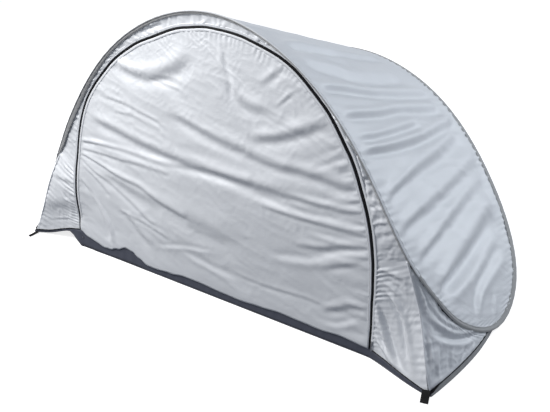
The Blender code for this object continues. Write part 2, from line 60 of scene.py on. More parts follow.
# The hoop's line, right half, and the sweep steps between its stations
HOOP_FRONT = [
    (0.000, -0.520, 1.100),
    (0.430, -0.530, 0.918),
    (0.640, -0.540, 0.665),
    (0.783, -0.532, 0.420),
    (0.920, -0.415, 0.172),
    (0.992, -0.110, 0.0165),
]
HOOP_REAR = [
    (0.000, 0.518, 0.700),
    (0.370, 0.495, 0.600),
    (0.700, 0.385, 0.340),
    (0.962, 0.090, 0.052),
]
FRONT_STEPS = (8, 6, 5, 5, 5)
REAR_STEPS = (7, 9, 9, 4)
HALF = sum(FRONT_STEPS)
FULL = 4 * HALF
SEAM_FRONT = sum(FRONT_STEPS[:3])
SEAM_REAR = sum(REAR_STEPS[:2])
TIP_STEP = 24
FINE = 8  # samples of the hoop for each sweep step

SLEEVE_HALF_WIDTH = 0.010
SLEEVE_HALF_THICKNESS = 0.005
GAP = 0.0004
CLOTH = 0.0025

# Groundsheet
CORNER_FRONT = (0.950, -0.600)
CORNER_REAR = (0.700, 0.585)
SIDE_BULGE = (0.972, -0.110)
SIDE_LIP = 0.020
GUSSET_END_FRONT = 27
GUSSET_END_REAR = 32
GUSSET_START = 0.075
HEM_Y = 0.560
HEM_HALF = 0.680
HEM_HALF_REAR = 0.460
SHEET = 0.003
LIP_HEIGHT = 0.036
LIP_CORNER = 0.012

# Door and zip
HINGE_Z = 0.040
LEAN = (HEM_Y - 0.520) / (1.100 - HINGE_Z)
ZIP_HALF_WIDTH = 0.680
ZIP_SPRING_Z = 0.300
ZIP_RISE = 0.750
ZIP_SIDE_TOP_Z = 0.370
ZIP_SIDE_STEPS = 5
ZIP_STEPS = SEAM_FRONT + ZIP_SIDE_STEPS
ZIP_FOOT = LIP_HEIGHT + GAP
DOOR_FOOT = 0.044
DOOR_BELLY = 0.016

BEAD = 0.0025
SEAM_DROP = 0.0024
LOOP_LEG = 0.034
LOOP_RADIUS = 0.006
LOOP_PLACE = 0.94
LOOP_SKEW = 0.25
LOOP_FOLD = 0.0034
# How wide each loop's webbing is, and how high it starts
LOOP_BAND = {("front", "right"): (0.028, 0.026), ("front", "left"): (0.012, 0.008), ("rear", "right"): (0.02, 0.012),
             ("rear", "left"): (0.02, 0.012)}

STRIP_RUN = 0.46
STRIP_RISE = 0.016

SKIN = 0.0010  # how thick the cloth is here
TAPE = 0.0008


# --- Numbers, curves and noise


def smooth(low, high, x):
    """0 below low, 1 above high, and an even ease between them."""
    share = np.clip((np.asarray(x, float) - low) / (high - low), 0.0, 1.0)
    return share * share * (3 - 2 * share)


def unit(v):
    return v / np.maximum(np.linalg.norm(v, axis=-1, keepdims=True), 1e-12)


def dot(a, b):
    return (a * b).sum(-1, keepdims=True)


def mix(a, b, share):
    return a + (b - a) * share


def noise(x, y, seed):
    """Smooth noise, about -1 to 1, with one cell for each unit of x and y."""
    cell_x, cell_y = np.floor(x), np.floor(y)
    in_x, in_y = x - cell_x, y - cell_y

    def pull(dx, dy):
        h = (cell_x + dx).astype(np.int64) * 374761393 + (cell_y + dy).astype(np.int64) * 668265263
        h = h + seed * 1442695041
        h = (h ^ (h >> 13)) * 1274126177
        angle = ((h ^ (h >> 16)) & 4095) * (math.tau / 4096)
        return np.cos(angle) * (in_x - dx) + np.sin(angle) * (in_y - dy)

    ease_x = in_x**3 * (in_x * (in_x * 6 - 15) + 10)
    ease_y = in_y**3 * (in_y * (in_y * 6 - 15) + 10)
    low = mix(pull(0, 0), pull(1, 0), ease_x)
    high = mix(pull(0, 1), pull(1, 1), ease_x)
    return 1.5 * mix(low, high, ease_y)


def crinkle(x, y, size, seed, stretch=1.0, turn=0.0):
    """Little creases about size apart and stretch times as long, running along the direction turn. 0 to 1."""
    c, s = math.cos(turn), math.sin(turn)
    along, across = (c * x + s * y) / (size * stretch), (c * y - s * x) / size
    bend = 0.7 * noise(along * 0.9 + 7.3, across * 0.45 + 1.7, seed + 1)
    crest = 1 - 1.7 * np.sqrt(noise(along + bend, across + bend, seed) ** 2 + 0.0012)
    patchy = 0.35 + 0.65 * smooth(-0.25, 0.45, noise(along * 0.55 + 3.1, across * 0.3 + 5.9, seed + 2))
    return np.clip(crest, 0.0, 1.0) ** 1.4 * patchy


def ripple(s, pitch, seed):
    """Uneven gathers along a seam: -1 to 1, about one for each pitch of the length s."""
    drift = 1.6 * noise(s / (pitch * 3.1), np.full_like(s, 0.37), seed)
    strength = 0.35 + 0.65 * smooth(-0.5, 0.5, noise(s / (pitch * 2.3), np.full_like(s, 4.2), seed + 1))
    return np.sin(math.tau * s / pitch + 2.2 * drift) * strength


def closed_spline(stations, steps):
    """Points along a smooth closed curve through the stations, with the given number of steps after each one."""
    stations = np.array(stations, float)
    count = len(stations)
    ahead = np.roll(stations, -1, axis=0)
    chords = np.linalg.norm(ahead - stations, axis=1)
    slopes = (ahead - stations) / chords[:, None]
    matrix = np.zeros((count, count))
    for k in range(count):
        matrix[k, k - 1] += chords[k - 1]
        matrix[k, k] += 2 * (chords[k - 1] + chords[k])
        matrix[k, (k + 1) % count] += chords[k]
    bends = np.linalg.solve(matrix, 6 * (slopes - np.roll(slopes, 1, axis=0)))
    parts = []
    for k in range(count):
        t = (np.arange(steps[k]) / steps[k])[:, None]
        s = 1 - t
        flat = s * stations[k] + t * ahead[k]
        sway = (s**3 - s) * bends[k] + (t**3 - t) * bends[(k + 1) % count]
        parts.append(flat + sway * chords[k] ** 2 / 6)
    return np.vstack(parts)


def smooth_line(points, each=8):
    """A denser, rounded line through a few points."""
    p = np.array(points, float)
    if len(p) < 3:
        return p
    p = np.vstack([2 * p[0] - p[1], p, 2 * p[-1] - p[-2]])
    out = []
    for a, b, c, d in zip(p, p[1:], p[2:], p[3:]):
        for k in range(each):
            t = k / each
            out.append(0.5 * (2 * b + (c - a) * t + (2 * a - 5 * b + 4 * c - d) * t**2 + (3 * b - a - 3 * c + d) * t**3))
    return np.vstack([out, p[-2]])


class Hoop:
    """The hoop's line, and the directions across the roof and out of it, at any place counted in sweep steps."""

    def __init__(self):
        right = HOOP_FRONT + HOOP_REAR[::-1]
        left = [(-x, y, z) for x, y, z in reversed(right[1:-1])]
        right_steps = [n * FINE for n in FRONT_STEPS + REAR_STEPS[::-1]]
        self.points = closed_spline(right + left, right_steps + right_steps[::-1])
        step = np.arange(len(self.points)) / FINE
        tangent = unit(np.roll(self.points, -1, axis=0) - np.roll(self.points, 1, axis=0))
        across = self.roof_middle(step) - self.points
        self.inward = unit(across - dot(across, tangent) * tangent)
        outward = np.cross(tangent, self.inward)
        facing = np.sign(dot(outward, self.points - np.array((0, 0, 0.25))))
        self.outward = outward * facing

    def roof_middle(self, step):
        side = np.where(step <= 2 * HALF, step, FULL - step)
        from_top = np.where(side <= HALF, side, 2 * HALF - side)
        near = np.minimum(from_top, TIP_STEP)
        middle = (self.sample(self.points, near) + self.sample(self.points, 2 * HALF - near)) / 2
        middle[:, 0] *= np.where(step <= 2 * HALF, 1, -1)
        return middle

    def sample(self, values, step):
        place = np.asarray(step, float) * FINE
        low = np.floor(place).astype(int)
        share = (place - low)[..., None]
        count = len(values)
        return mix(values[low % count], values[(low + 1) % count], share)

    def place(self, step, inward=0.0, outward=0.0):
        found = self.sample(self.points, step)
        return found + inward * self.sample(self.inward, step) + outward * self.sample(self.outward, step)


HOOP = Hoop()


def wall_point(x, z, out=0.0):
    """A point in the plane of the front wall. out is how far it stands forward of it."""
    x, z = np.asarray(x, float), np.asarray(z, float)
    return np.stack([x + 0 * z, -HEM_Y + LEAN * (z - HINGE_Z) - out + 0 * x, z + 0 * x], axis=-1)


def zip_middle(step, foot):
    """The right half of the zip's line, in the wall's plane, as x and z. Step 0 is the top."""
    low = math.asin((ZIP_SIDE_TOP_Z - ZIP_SPRING_Z) / ZIP_RISE)
    angle = math.pi / 2 + (low - math.pi / 2) * np.minimum(step, SEAM_FRONT) / SEAM_FRONT
    share = np.maximum(step - SEAM_FRONT, 0) / ZIP_SIDE_STEPS
    top_x = ZIP_HALF_WIDTH * math.cos(low)
    x = np.where(share > 0, top_x + (ZIP_HALF_WIDTH - top_x) * np.minimum(1, share * 3), ZIP_HALF_WIDTH * np.cos(angle))
    z = np.where(share > 0, ZIP_SIDE_TOP_Z + (foot - ZIP_SIDE_TOP_Z) * share, ZIP_SPRING_Z + ZIP_RISE * np.sin(angle))
    return x, z


def eased(x, places, values):
    """Values between the given places, level at each of them."""
    places, values = np.array(places, float), np.array(values, float)
    x = np.clip(x, places[0], places[-1])
    k = np.clip(np.searchsorted(places, x, side="right") - 1, 0, len(places) - 2)
    return mix(values[k], values[k + 1], smooth(0, 1, (x - places[k]) / (places[k + 1] - places[k])))


# The zip wanders a little from its even arch: steps, and millimetres towards the hoop
SWAY_AT = (-24, -22, -18, -14, -10, -7, -5, -2, 0, 3, 6, 9, 12, 15, 18, 21, 23, 24)
SWAY = (14, 11, 3, 8, -5, -12, -17, -6, 1, 8, 18, 9, -3, -13, -14, -9, -4, -3)


def zip_place(step, offset, foot=ZIP_FOOT):
    """x and z beside the zip's line, offset positive on the wall's side. Steps run from the left foot to the right."""
    step = np.asarray(step, float)
    offset = offset + 0.001 * eased(step, SWAY_AT, SWAY)
    here = np.minimum(np.abs(step), ZIP_STEPS)
    x, z = zip_middle(here, foot)
    x0, z0 = zip_middle(np.maximum(here - 0.4, 0), foot)
    x1, z1 = zip_middle(np.minimum(here + 0.4, ZIP_STEPS), foot)
    length = np.hypot(x1 - x0, z1 - z0)
    side = np.where(step < 0, -1.0, 1.0)
    lift = np.where(here < 0.01, 1.0, (x1 - x0) / length)
    spread = np.where(here < 0.01, 0.0, (z0 - z1) / length)
    level = np.where(here > ZIP_STEPS - 0.2, 0.0, 1.0)
    return side * (x + offset * mix(1.0, spread, level)), z + offset * lift * level


def lip_top(share):
    return LIP_HEIGHT + (LIP_CORNER - LIP_HEIGHT) * np.clip(share, 0, 1)


def hem_point(x, up=0.0, rear=False):
    """A point above the middle of the front or rear lip's edge."""
    x = np.asarray(x, float)
    corner = CORNER_REAR if rear else CORNER_FRONT
    straight = HEM_HALF_REAR if rear else HEM_HALF
    share = np.clip((np.abs(x) - straight) / (corner[0] - straight), 0, 1)
    y = HEM_Y + (abs(corner[1]) - CLOTH / 2 - HEM_Y) * share
    return np.stack([x, y if rear else -y, lip_top(share) + up], axis=-1)


def side_point(y, side, up=0.0):
    """A point above the middle of a side lip's edge."""
    y = np.asarray(y, float)
    knots = (CORNER_FRONT, SIDE_BULGE, CORNER_REAR)
    x = 0.0 * y
    for knot in knots:
        weight = 1.0
        for other in knots:
            if other is not knot:
                weight = weight * (y - other[1]) / (knot[1] - other[1])
        x = x + weight * (knot[0] - CLOTH / 2)
    end = np.where(y < SIDE_BULGE[1], CORNER_FRONT[1], CORNER_REAR[1])
    share = np.abs((y - SIDE_BULGE[1]) / (end - SIDE_BULGE[1]))
    return np.stack([side * x, y, SIDE_LIP + (LIP_CORNER - SIDE_LIP) * share + up], axis=-1)


def corner_rise(x, y):
    """How far the groundsheet's edge is lifted between the zip's left foot and the corner."""
    share = np.clip((np.abs(x) - HEM_HALF) / (CORNER_FRONT[0] - HEM_HALF), 0, 1)
    thin = np.maximum(lip_top(share) - 0.0115, 0)
    lifted = smooth(-HEM_HALF - 0.01, -HEM_HALF - 0.09, x) * smooth(-HEM_Y + 0.14, -HEM_Y + 0.02, y)
    pulled = tug_shift(np.stack([x, y, 0 * x], axis=-1))[..., 2]
    return thin * lifted - pulled * (1 - lifted)


def strip_top(y):
    """How far the grey strip beside the groundsheet stands above the lip's own height, from the front corner back."""
    share = np.clip((np.asarray(y, float) - CORNER_FRONT[1]) / STRIP_RUN, 0, 1)
    return STRIP_RISE * smooth(0, 0.12, share) * smooth(1.0, 0.75, share)


def corner_seam(side, rear=False):
    """The two ends of the seam from the hoop down to a corner."""
    step = 2 * HALF - SEAM_REAR if rear else SEAM_FRONT
    corner = CORNER_REAR if rear else CORNER_FRONT
    direction = -1 if rear else 1
    foot = np.array((side * (corner[0] - 0.009), corner[1] + direction * 0.009, LIP_CORNER + 0.0075))
    top = HOOP.place(side * step, 0.0, -(SLEEVE_HALF_THICKNESS + CLOTH / 2 + BEAD + 2 * GAP))
    return top + unit(foot - top) * SEAM_DROP, foot


# --- Materials


def shader_nodes(name, colour, roughness, metallic=0.0, sheen=0.0):
    made = bpy.data.materials.new(name)
    made.use_nodes = True
    nodes, links = made.node_tree.nodes, made.node_tree.links
    shader = nodes["Principled BSDF"]
    shader.inputs["Base Color"].default_value = (*colour, 1.0)
    shader.inputs["Roughness"].default_value = roughness
    shader.inputs["Metallic"].default_value = metallic
    if sheen:
        shader.inputs["Sheen Weight"].default_value = sheen
        shader.inputs["Sheen Roughness"].default_value = 0.4
    return made, nodes, links, shader


def math_node(nodes, links, operation, first, second=None):
    node = nodes.new("ShaderNodeMath")
    node.operation = operation
    for slot, value in ((0, first), (1, second)):
        if value is None:
            continue
        if isinstance(value, (int, float)):
            node.inputs[slot].default_value = value
        else:
            links.new(value, node.inputs[slot])
    return node.outputs[0]


def weave_height(nodes, links, pitch):
    """Plain weave from the piece's own UV, which is in metres: warp and weft threads a pitch apart."""
    uv = nodes.new("ShaderNodeUVMap")
    uv.uv_map = "metres"
    split = nodes.new("ShaderNodeSeparateXYZ")
    links.new(uv.outputs[0], split.inputs[0])
    waves = []
    for axis in (0, 1):
        turn = math_node(nodes, links, "MULTIPLY", split.outputs[axis], math.pi / pitch)
        waves.append(math_node(nodes, links, "SINE", turn))
    product = math_node(nodes, links, "MULTIPLY", waves[0], waves[1])
    return math_node(nodes, links, "ABSOLUTE", product), uv.outputs[0]


def cloth_material(name, colour, roughness, metallic=0.0, sheen=0.0, pitch=0.0007, crease=0.35, tint=0.04, weave=0.12):
    """Woven cloth: weave, fine creases between the modelled ones, and a slow change of shade."""
    made, nodes, links, shader = shader_nodes(name, colour, roughness, metallic, sheen)
    height, uv = weave_height(nodes, links, pitch)
    creases = nodes.new("ShaderNodeTexNoise")
    creases.inputs["Scale"].default_value = 55.0
    creases.inputs["Detail"].default_value = 4.0
    creases.inputs["Roughness"].default_value = 0.6
    creases.inputs["Distortion"].default_value = 1.2
    links.new(uv, creases.inputs["Vector"])
    sharp = nodes.new("ShaderNodeTexNoise")
    sharp.noise_type = "RIDGED_MULTIFRACTAL"
    sharp.inputs["Scale"].default_value = 13.0
    sharp.inputs["Detail"].default_value = 2.0
    sharp.inputs["Roughness"].default_value = 0.5
    sharp.inputs["Distortion"].default_value = 0.6
    turned = nodes.new("ShaderNodeMapping")
    turned.inputs["Rotation"].default_value = (0.0, 0.0, 0.35)
    turned.inputs["Scale"].default_value = (0.55, 1.4, 1.0)
    links.new(uv, turned.inputs["Vector"])
    links.new(turned.outputs[0], sharp.inputs["Vector"])
    weighed = math_node(nodes, links, "MULTIPLY", sharp.outputs[0], 0.8)
    both = math_node(nodes, links, "ADD", weighed, creases.outputs[0])
    bend = nodes.new("ShaderNodeBump")
    bend.inputs["Strength"].default_value = crease
    bend.inputs["Distance"].default_value = 0.0016
    links.new(both, bend.inputs["Height"])
    threads = nodes.new("ShaderNodeBump")
    threads.inputs["Strength"].default_value = weave
    threads.inputs["Distance"].default_value = 0.0002
    links.new(height, threads.inputs["Height"])
    links.new(bend.outputs[0], threads.inputs["Normal"])
    links.new(threads.outputs[0], shader.inputs["Normal"])

    cloud = nodes.new("ShaderNodeTexNoise")
    cloud.inputs["Scale"].default_value = 7.0
    cloud.inputs["Detail"].default_value = 3.0
    links.new(uv, cloud.inputs["Vector"])
    ramp = nodes.new("ShaderNodeMix")
    ramp.data_type = "RGBA"
    links.new(cloud.outputs[0], ramp.inputs[0])
    ramp.inputs[6].default_value = (*[c * (1 - tint) for c in colour], 1)
    ramp.inputs[7].default_value = (*[min(1.0, c * (1 + tint)) for c in colour], 1)
    links.new(ramp.outputs[2], shader.inputs["Base Color"])
    span = nodes.new("ShaderNodeMapRange")
    span.inputs["To Min"].default_value = roughness - 0.05
    span.inputs["To Max"].default_value = roughness + 0.07
    links.new(creases.outputs[0], span.inputs["Value"])
    links.new(span.outputs[0], shader.inputs["Roughness"])
    return made


def metal_material(name, colour, roughness):
    made, nodes, links, shader = shader_nodes(name, colour, roughness, 1.0)
    scratches = nodes.new("ShaderNodeTexNoise")
    scratches.inputs["Scale"].default_value = 900.0
    scratches.inputs["Detail"].default_value = 2.0
    place = nodes.new("ShaderNodeTexCoord")
    links.new(place.outputs["Object"], scratches.inputs["Vector"])
    span = nodes.new("ShaderNodeMapRange")
    span.inputs["To Min"].default_value = roughness - 0.06
    span.inputs["To Max"].default_value = roughness + 0.12
    links.new(scratches.outputs[0], span.inputs["Value"])
    links.new(span.outputs[0], shader.inputs["Roughness"])
    return made


SILVER = cloth_material("silver_polyester", (0.66, 0.68, 0.71), 0.58, 0.18, 0.0)
GREY = cloth_material("grey_binding", (0.30, 0.305, 0.31), 0.62, 0.0, 0.3, 0.0011, 0.2, 0.08, 0.3)
# The ground cloth is grey. Its dark colour here is painted shade: the shadow on the front strip is taken into the
# cloth's colour. It serves the groundsheet and the front and rear lips, while the side lips show the same cloth in the
# lighter binding grey.
FLOOR_PAINTED_SHADE = cloth_material("floor_cloth_painted_shade", (0.068, 0.074, 0.098), 0.5, 0.0, 0.1, 0.0008, 0.4, 0.08, 0.2)
BLACK = cloth_material("black_webbing", (0.008, 0.008, 0.009), 0.75, 0.0, 0.0, 0.0016, 0.1, 0.1, 0.6)
BLACK.node_tree.nodes["Principled BSDF"].inputs["Specular IOR Level"].default_value = 0.2
NYLON = cloth_material("zip_tape_cloth", (0.010, 0.010, 0.012), 0.7, 0.0, 0.0, 0.0009, 0.1, 0.1, 0.4)
NYLON.node_tree.nodes["Principled BSDF"].inputs["Specular IOR Level"].default_value = 0.2
TEETH = shader_nodes("zip_coil_nylon", (0.012, 0.012, 0.014), 0.5)[0]
TEETH.node_tree.nodes["Principled BSDF"].inputs["Specular IOR Level"].default_value = 0.3
THREAD = shader_nodes("sewing_thread", (0.36, 0.37, 0.39), 0.6)[0]
STEEL = metal_material("slider_steel", (0.62, 0.62, 0.63), 0.3)


# --- Meshes


# Where the pegs, the hem and the hand that set it up pull the cloth out of its even shape: a place, how far the
# pull reaches, and the shift
TUGS = (
    ((0.95, -0.60, 0.0), 0.30, (-0.008, -0.036, 0.0)),
    ((0.86, -0.57, 0.24), 0.22, (-0.004, 0.012, 0.0)),
    ((-0.78, -0.57, 0.28), 0.20, (0.0, -0.020, 0.0)),
    ((-0.85, -0.57, 0.0), 0.16, (0.0, 0.018, 0.003)),
    ((-0.68, -0.56, 0.0), 0.22, (0.0, 0.0, 0.048)),
    ((-0.35, -0.56, 0.0), 0.35, (0.0, 0.0, 0.010)),
)


def tug_shift(points):
    shift = np.zeros_like(points)
    for centre, reach, pull in TUGS:
        far = np.linalg.norm(points - centre, axis=-1, keepdims=True) / reach
        shift += np.clip(1 - far**2, 0, 1) ** 2 * np.array(pull)
    return shift


def tugged(points):
    points = np.array(points, float)
    return points + tug_shift(points)


def make_mesh(name, vertices, faces, material, uv=None):
    mesh = bpy.data.meshes.new(name)
    mesh.from_pydata(tugged(vertices).tolist(), [], faces)
    if uv is not None:
        layer = mesh.uv_layers.new(name="metres")
        index = np.empty(len(mesh.loops), int)
        mesh.loops.foreach_get("vertex_index", index)
        layer.data.foreach_set("uv", np.asarray(uv, np.float32)[index].ravel())
    mesh.materials.append(material)
    mesh.shade_smooth()
    obj = bpy.data.objects.new(name, mesh)
    bpy.context.scene.collection.objects.link(obj)
    return obj


def tidy_mesh(obj, merge=0.0):
    """Joins doubled points and turns the faces outwards."""
    bm = bmesh.new()
    bm.from_mesh(obj.data)
    if merge:
        bmesh.ops.remove_doubles(bm, verts=bm.verts, dist=merge)
    bmesh.ops.recalc_face_normals(bm, faces=bm.faces)
    bm.to_mesh(obj.data)
    bm.free()


def lengths(grid):
    """How far each point of a grid is along its column and along its row, in metres."""
    down = np.linalg.norm(np.diff(grid, axis=0), axis=-1)
    over = np.linalg.norm(np.diff(grid, axis=1), axis=-1)
    rows = np.vstack([np.zeros((1, grid.shape[1])), np.cumsum(down, axis=0)])
    columns = np.hstack([np.zeros((grid.shape[0], 1)), np.cumsum(over, axis=1)])
    return rows, columns


def grid_normals(grid, outside):
    """Unit normals of a grid of points, on the side that faces away from the tent's middle."""
    down = np.gradient(grid, axis=0)
    over = np.gradient(grid, axis=1)
    normal = unit(np.cross(down, over))
    if (normal * (grid - outside)).sum() < 0:
        normal = -normal
    return normal


MIDDLE = np.array((0.0, 0.0, 0.25))


def sheet_mesh(name, grid, material, uv=None, thickness=SKIN, merge=0.0, closed=False):
    """A cloth through a grid of points, thickened evenly."""
    rows, columns = grid.shape[:2]
    index = np.arange(rows * columns).reshape(rows, columns)
    if closed:
        index = np.hstack([index, index[:, :1]])
    a, b, c, d = index[:-1, :-1], index[:-1, 1:], index[1:, 1:], index[1:, :-1]
    faces = np.stack([a, b, c, d], axis=-1).reshape(-1, 4)
    first = grid_normals(grid, MIDDLE)
    flat = np.cross(np.gradient(grid, axis=0), np.gradient(grid, axis=1))
    if (first * flat).sum() > 0:
        faces = faces[:, ::-1]
    if uv is None:
        down, over = lengths(grid)
        uv = np.stack([over, down], axis=-1)
    obj = make_mesh(name, grid.reshape(-1, 3), faces.tolist(), material, uv.reshape(-1, 2))
    if merge:
        bm = bmesh.new()
        bm.from_mesh(obj.data)
        bmesh.ops.remove_doubles(bm, verts=bm.verts, dist=merge)
        bm.to_mesh(obj.data)
        bm.free()
    solid = obj.modifiers.new("thickness", "SOLIDIFY")
    solid.thickness = thickness
    solid.offset = 0.0
    return obj


def sweep(name, points, first, second, section, material, closed=False, uv_scale=1.0):
    """A section swept along points; the section is (n, 2) or (points, n, 2), in terms of the two directions."""
    section = np.asarray(section, float)
    if section.ndim == 2:
        section = np.repeat(section[None], len(points), axis=0)
    rings = points[:, None] + section[..., :1] * first[:, None] + section[..., 1:] * second[:, None]
    count, sides = rings.shape[:2]
    faces = []
    for k in range(count if closed else count - 1):
        ahead = (k + 1) % count
        for j in range(sides):
            i = (j + 1) % sides
            faces.append((k * sides + j, k * sides + i, ahead * sides + i, ahead * sides + j))
    if not closed:
        faces.append(tuple(range(sides)))
        faces.append(tuple((count - 1) * sides + j for j in range(sides)))
    along = np.concatenate([[0], np.cumsum(np.linalg.norm(np.diff(points, axis=0), axis=-1))])
    round_it = np.concatenate([[0], np.cumsum(np.linalg.norm(np.diff(section[0], axis=0), axis=-1))])
    uv = np.stack([np.repeat(along[:, None], sides, 1), np.repeat(round_it[None], count, 0)], axis=-1)
    obj = make_mesh(name, rings.reshape(-1, 3), faces, material, uv.reshape(-1, 2) * uv_scale)
    tidy_mesh(obj)
    return obj


def line_axes(points):
    tangent = unit(np.gradient(points, axis=0))
    guide = np.where(np.abs(tangent[:, :1]) < 0.8, np.array((1.0, 0, 0)), np.array((0, 1.0, 0)))
    first = unit(np.cross(tangent, guide))
    return first, np.cross(tangent, first)


def even(points, spacing):
    """The same line with points an even distance apart."""
    points = np.asarray(points, float)
    along = np.concatenate([[0], np.cumsum(np.linalg.norm(np.diff(points, axis=0), axis=-1))])
    count = max(2, int(round(along[-1] / spacing)) + 1)
    at = np.linspace(0, along[-1], count)
    return np.stack([np.interp(at, along, points[:, k]) for k in range(3)], axis=-1)


def dashes(name, centres, forward, up, size, material):
    """Small bars with a rounded back, such as stitches or coil teeth. size is length, width and height."""
    length, width, height = size
    profile = [(-0.5, 0.0), (-0.36, 0.72), (-0.12, 1.0), (0.12, 1.0), (0.36, 0.72), (0.5, 0.0)]
    across = np.cross(forward, up)
    corners = []
    for side in (-0.5, 0.5):
        for a, b in profile:
            corners.append(centres + forward * a * length + across * side * width + up * b * height)
    corners = np.stack(corners, axis=1)
    sides = len(profile)
    faces = []
    for k in range(len(centres)):
        base = k * 2 * sides
        for j in range(sides):
            i = (j + 1) % sides
            faces.append((base + j, base + i, base + sides + i, base + sides + j))
        faces.append(tuple(base + j for j in range(sides)))
        faces.append(tuple(base + sides + j for j in reversed(range(sides))))
    obj = make_mesh(name, corners.reshape(-1, 3), faces, material)
    tidy_mesh(obj)
    obj.data.set_sharp_from_angle(angle=math.radians(45))
    return obj


# --- Folds


def fold_height(grid, normal, line, height, widths, ends=0.10):
    """How far one fold lifts each point. It rises on the line's left and sinks on its right, so that the slope
    between faces down where the line runs along a wall to the right, and a negative height makes it face up. The
    widths are at the line's two ends."""
    line = smooth_line(line, 5)
    margin = 3.2 * max(widths)
    close = ((grid > line.min(axis=0) - margin) & (grid < line.max(axis=0) + margin)).all(axis=-1)
    points, normals = grid[close], normal[close]
    best = np.full(len(points), 1e9)
    side = np.zeros_like(best)
    place = np.zeros_like(best)
    start = 0.0
    for a, b in zip(line, line[1:]):
        run = b - a
        length = np.linalg.norm(run)
        share = np.clip(((points - a) * run).sum(-1) / length**2, 0, 1)
        off = points - (a + share[..., None] * run)
        far = np.linalg.norm(off, axis=-1)
        near = far < best
        best = np.where(near, far, best)
        side = np.where(near, (np.cross(normals, run / length) * off).sum(-1), side)
        place = np.where(near, start + share * length, place)
        start += length
    reach = min(ends, start * 0.45)
    taper = smooth(0, reach, place) * smooth(0, reach, start - place)
    width = mix(widths[0], widths[1], place / start)
    across = side / width
    lift = np.zeros(grid.shape[:2])
    lift[close] = 1.17 * height * across * np.exp(0.5 - across**2 - 0.25 * (best**2 - side**2) / width**2) * taper
    return lift


def fold_all(grid, normal, folds, to_space, ends=0.10):
    """All folds of a panel. Each is a line through (x, y) places, a height and the widths at its ends."""
    total = np.zeros(grid.shape[:2])
    for height, widths, *points in folds:
        line = to_space(np.array([p[0] for p in points]), np.array([p[1] for p in points]))
        total += fold_height(grid, normal, line, height, widths, ends)
    return total


def wall_space(x, z):
    return wall_point(x, z)


def nearest(points, line):
    """How far each point of a grid is from a line, and how far along the line its nearest place is."""
    along = np.concatenate([[0], np.cumsum(np.linalg.norm(np.diff(line, axis=0), axis=-1))])
    distance, place = np.empty(points.shape[:2]), np.empty(points.shape[:2])
    for k, row in enumerate(points):
        far = np.linalg.norm(row[:, None] - line[None], axis=-1)
        best = far.argmin(axis=1)
        distance[k], place[k] = far.min(axis=1), along[best]
    return distance, place


def gathers(distance, along, pitch, height, reach, seed, close=0.004):
    """Gathers beside a seam: they begin close to it and fade out over the reach."""
    return height * ripple(along, pitch, seed) * smooth(0, close, distance) * np.exp(-distance / reach)


# --- The hoop's sleeve


def make_sleeve():
    count = 900
    step = np.arange(count) / count * FULL
    points = HOOP.place(step)
    first, second = HOOP.sample(HOOP.inward, step), HOOP.sample(HOOP.outward, step)
    along = np.concatenate([[0], np.cumsum(np.linalg.norm(np.diff(points, axis=0), axis=-1))])
    turns = 22
    angle = np.arange(turns) / turns * math.tau
    a = -0.0005 + 0.0092 * np.cos(angle)
    rod = np.exp(-(((a + 0.0030) / 0.0048) ** 2))
    b = np.sign(np.sin(angle)) * np.abs(np.sin(angle)) ** 0.7 * (0.0011 + 0.0036 * rod)
    pull = gathers(np.full(count, 0.004), along, 0.017, 0.0011, 1.0, 11)
    flank = smooth(-0.001, 0.006, a) * (np.abs(b) > 0)
    section = np.stack([np.repeat(a[None], count, 0), np.repeat(b[None], count, 0)], axis=-1)
    section[..., 1] += pull[:, None] * flank[None]
    section[..., 0] += 0.0006 * ripple(along, 0.045, 12)[:, None] * np.sign(a)[None]
    # Behind the tip the binding lies wider on the roof
    from_top = np.minimum(step, FULL - step)
    wide = smooth(26, 32, from_top) * smooth(2 * HALF, 50, from_top)
    section[..., 0] += 0.011 * wide[:, None] * smooth(-0.002, 0.0085, a)[None]
    section[..., 1] += (wide * (0.0010 + 0.0010 * ripple(along, 0.023, 14)))[:, None] * smooth(0.001, 0.008, a)[None]
    sleeve = sweep("hoop_sleeve", points, first, second, section, GREY, closed=True)
    # Over the front arch the roof's own cloth covers the top of the sleeve
    sleeve.data.materials.append(SILVER)
    on_top = (np.sin(angle) > 0.15) & (np.cos(angle) > -0.75)
    for face in sleeve.data.polygons:
        ring, place = divmod(min(face.vertices), turns)
        if on_top[place] and from_arch(step[ring]) < SEAM_FRONT + 1:
            face.material_index = 1
    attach(sleeve, "shelter")
    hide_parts(*[f"hoop_sleeve_{end}_{side}" for end in ("front", "rear") for side in ("left", "right")])
    sleeve_stitches(step, points, first, second)
    return sleeve


def from_arch(step):
    return min(step, FULL - step)


def sleeve_stitches(step, points, first, second):
    pitch = 0.0042
    dense = np.linspace(0, FULL, 6000, endpoint=False)
    line = HOOP.place(dense, 0.0062, 0.0016)
    along = np.concatenate([[0], np.cumsum(np.linalg.norm(np.diff(line, axis=0), axis=-1))])
    at = np.arange(int(along[-1] / pitch)) * pitch + pitch / 2
    where = np.interp(at, along, dense)
    centres = HOOP.place(where, 0.0062, 0.0012)
    ahead = unit(HOOP.place(where + 0.02) - HOOP.place(where - 0.02))
    stitches = dashes("sleeve_stitching", centres, ahead, unit(HOOP.sample(HOOP.outward, where)),
                      (0.0029, 0.0006, 0.0009), THREAD)
    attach(stitches, "shelter")


# How far the binding laps over the front wall: sweep steps, negative on the left, and metres
LAP_AT = (-19.3, -18, -15, -12, -7, -3, 0, 5, 10, 16, 19.3)
LAP = (0.006, 0.012, 0.014, 0.011, 0.008, 0.006, 0.004, 0.002, 0.002, 0.003, 0.003)


def arch_edges(step):
    """The arch band's outer edge, under the sleeve, and its inner one beside the zip."""
    x, z = zip_place(step, tape_shown(step))
    return HOOP.place(step, 0.001, -SLEEVE_HALF_THICKNESS + 0.0012), wall_point(x, z, 0.0005)


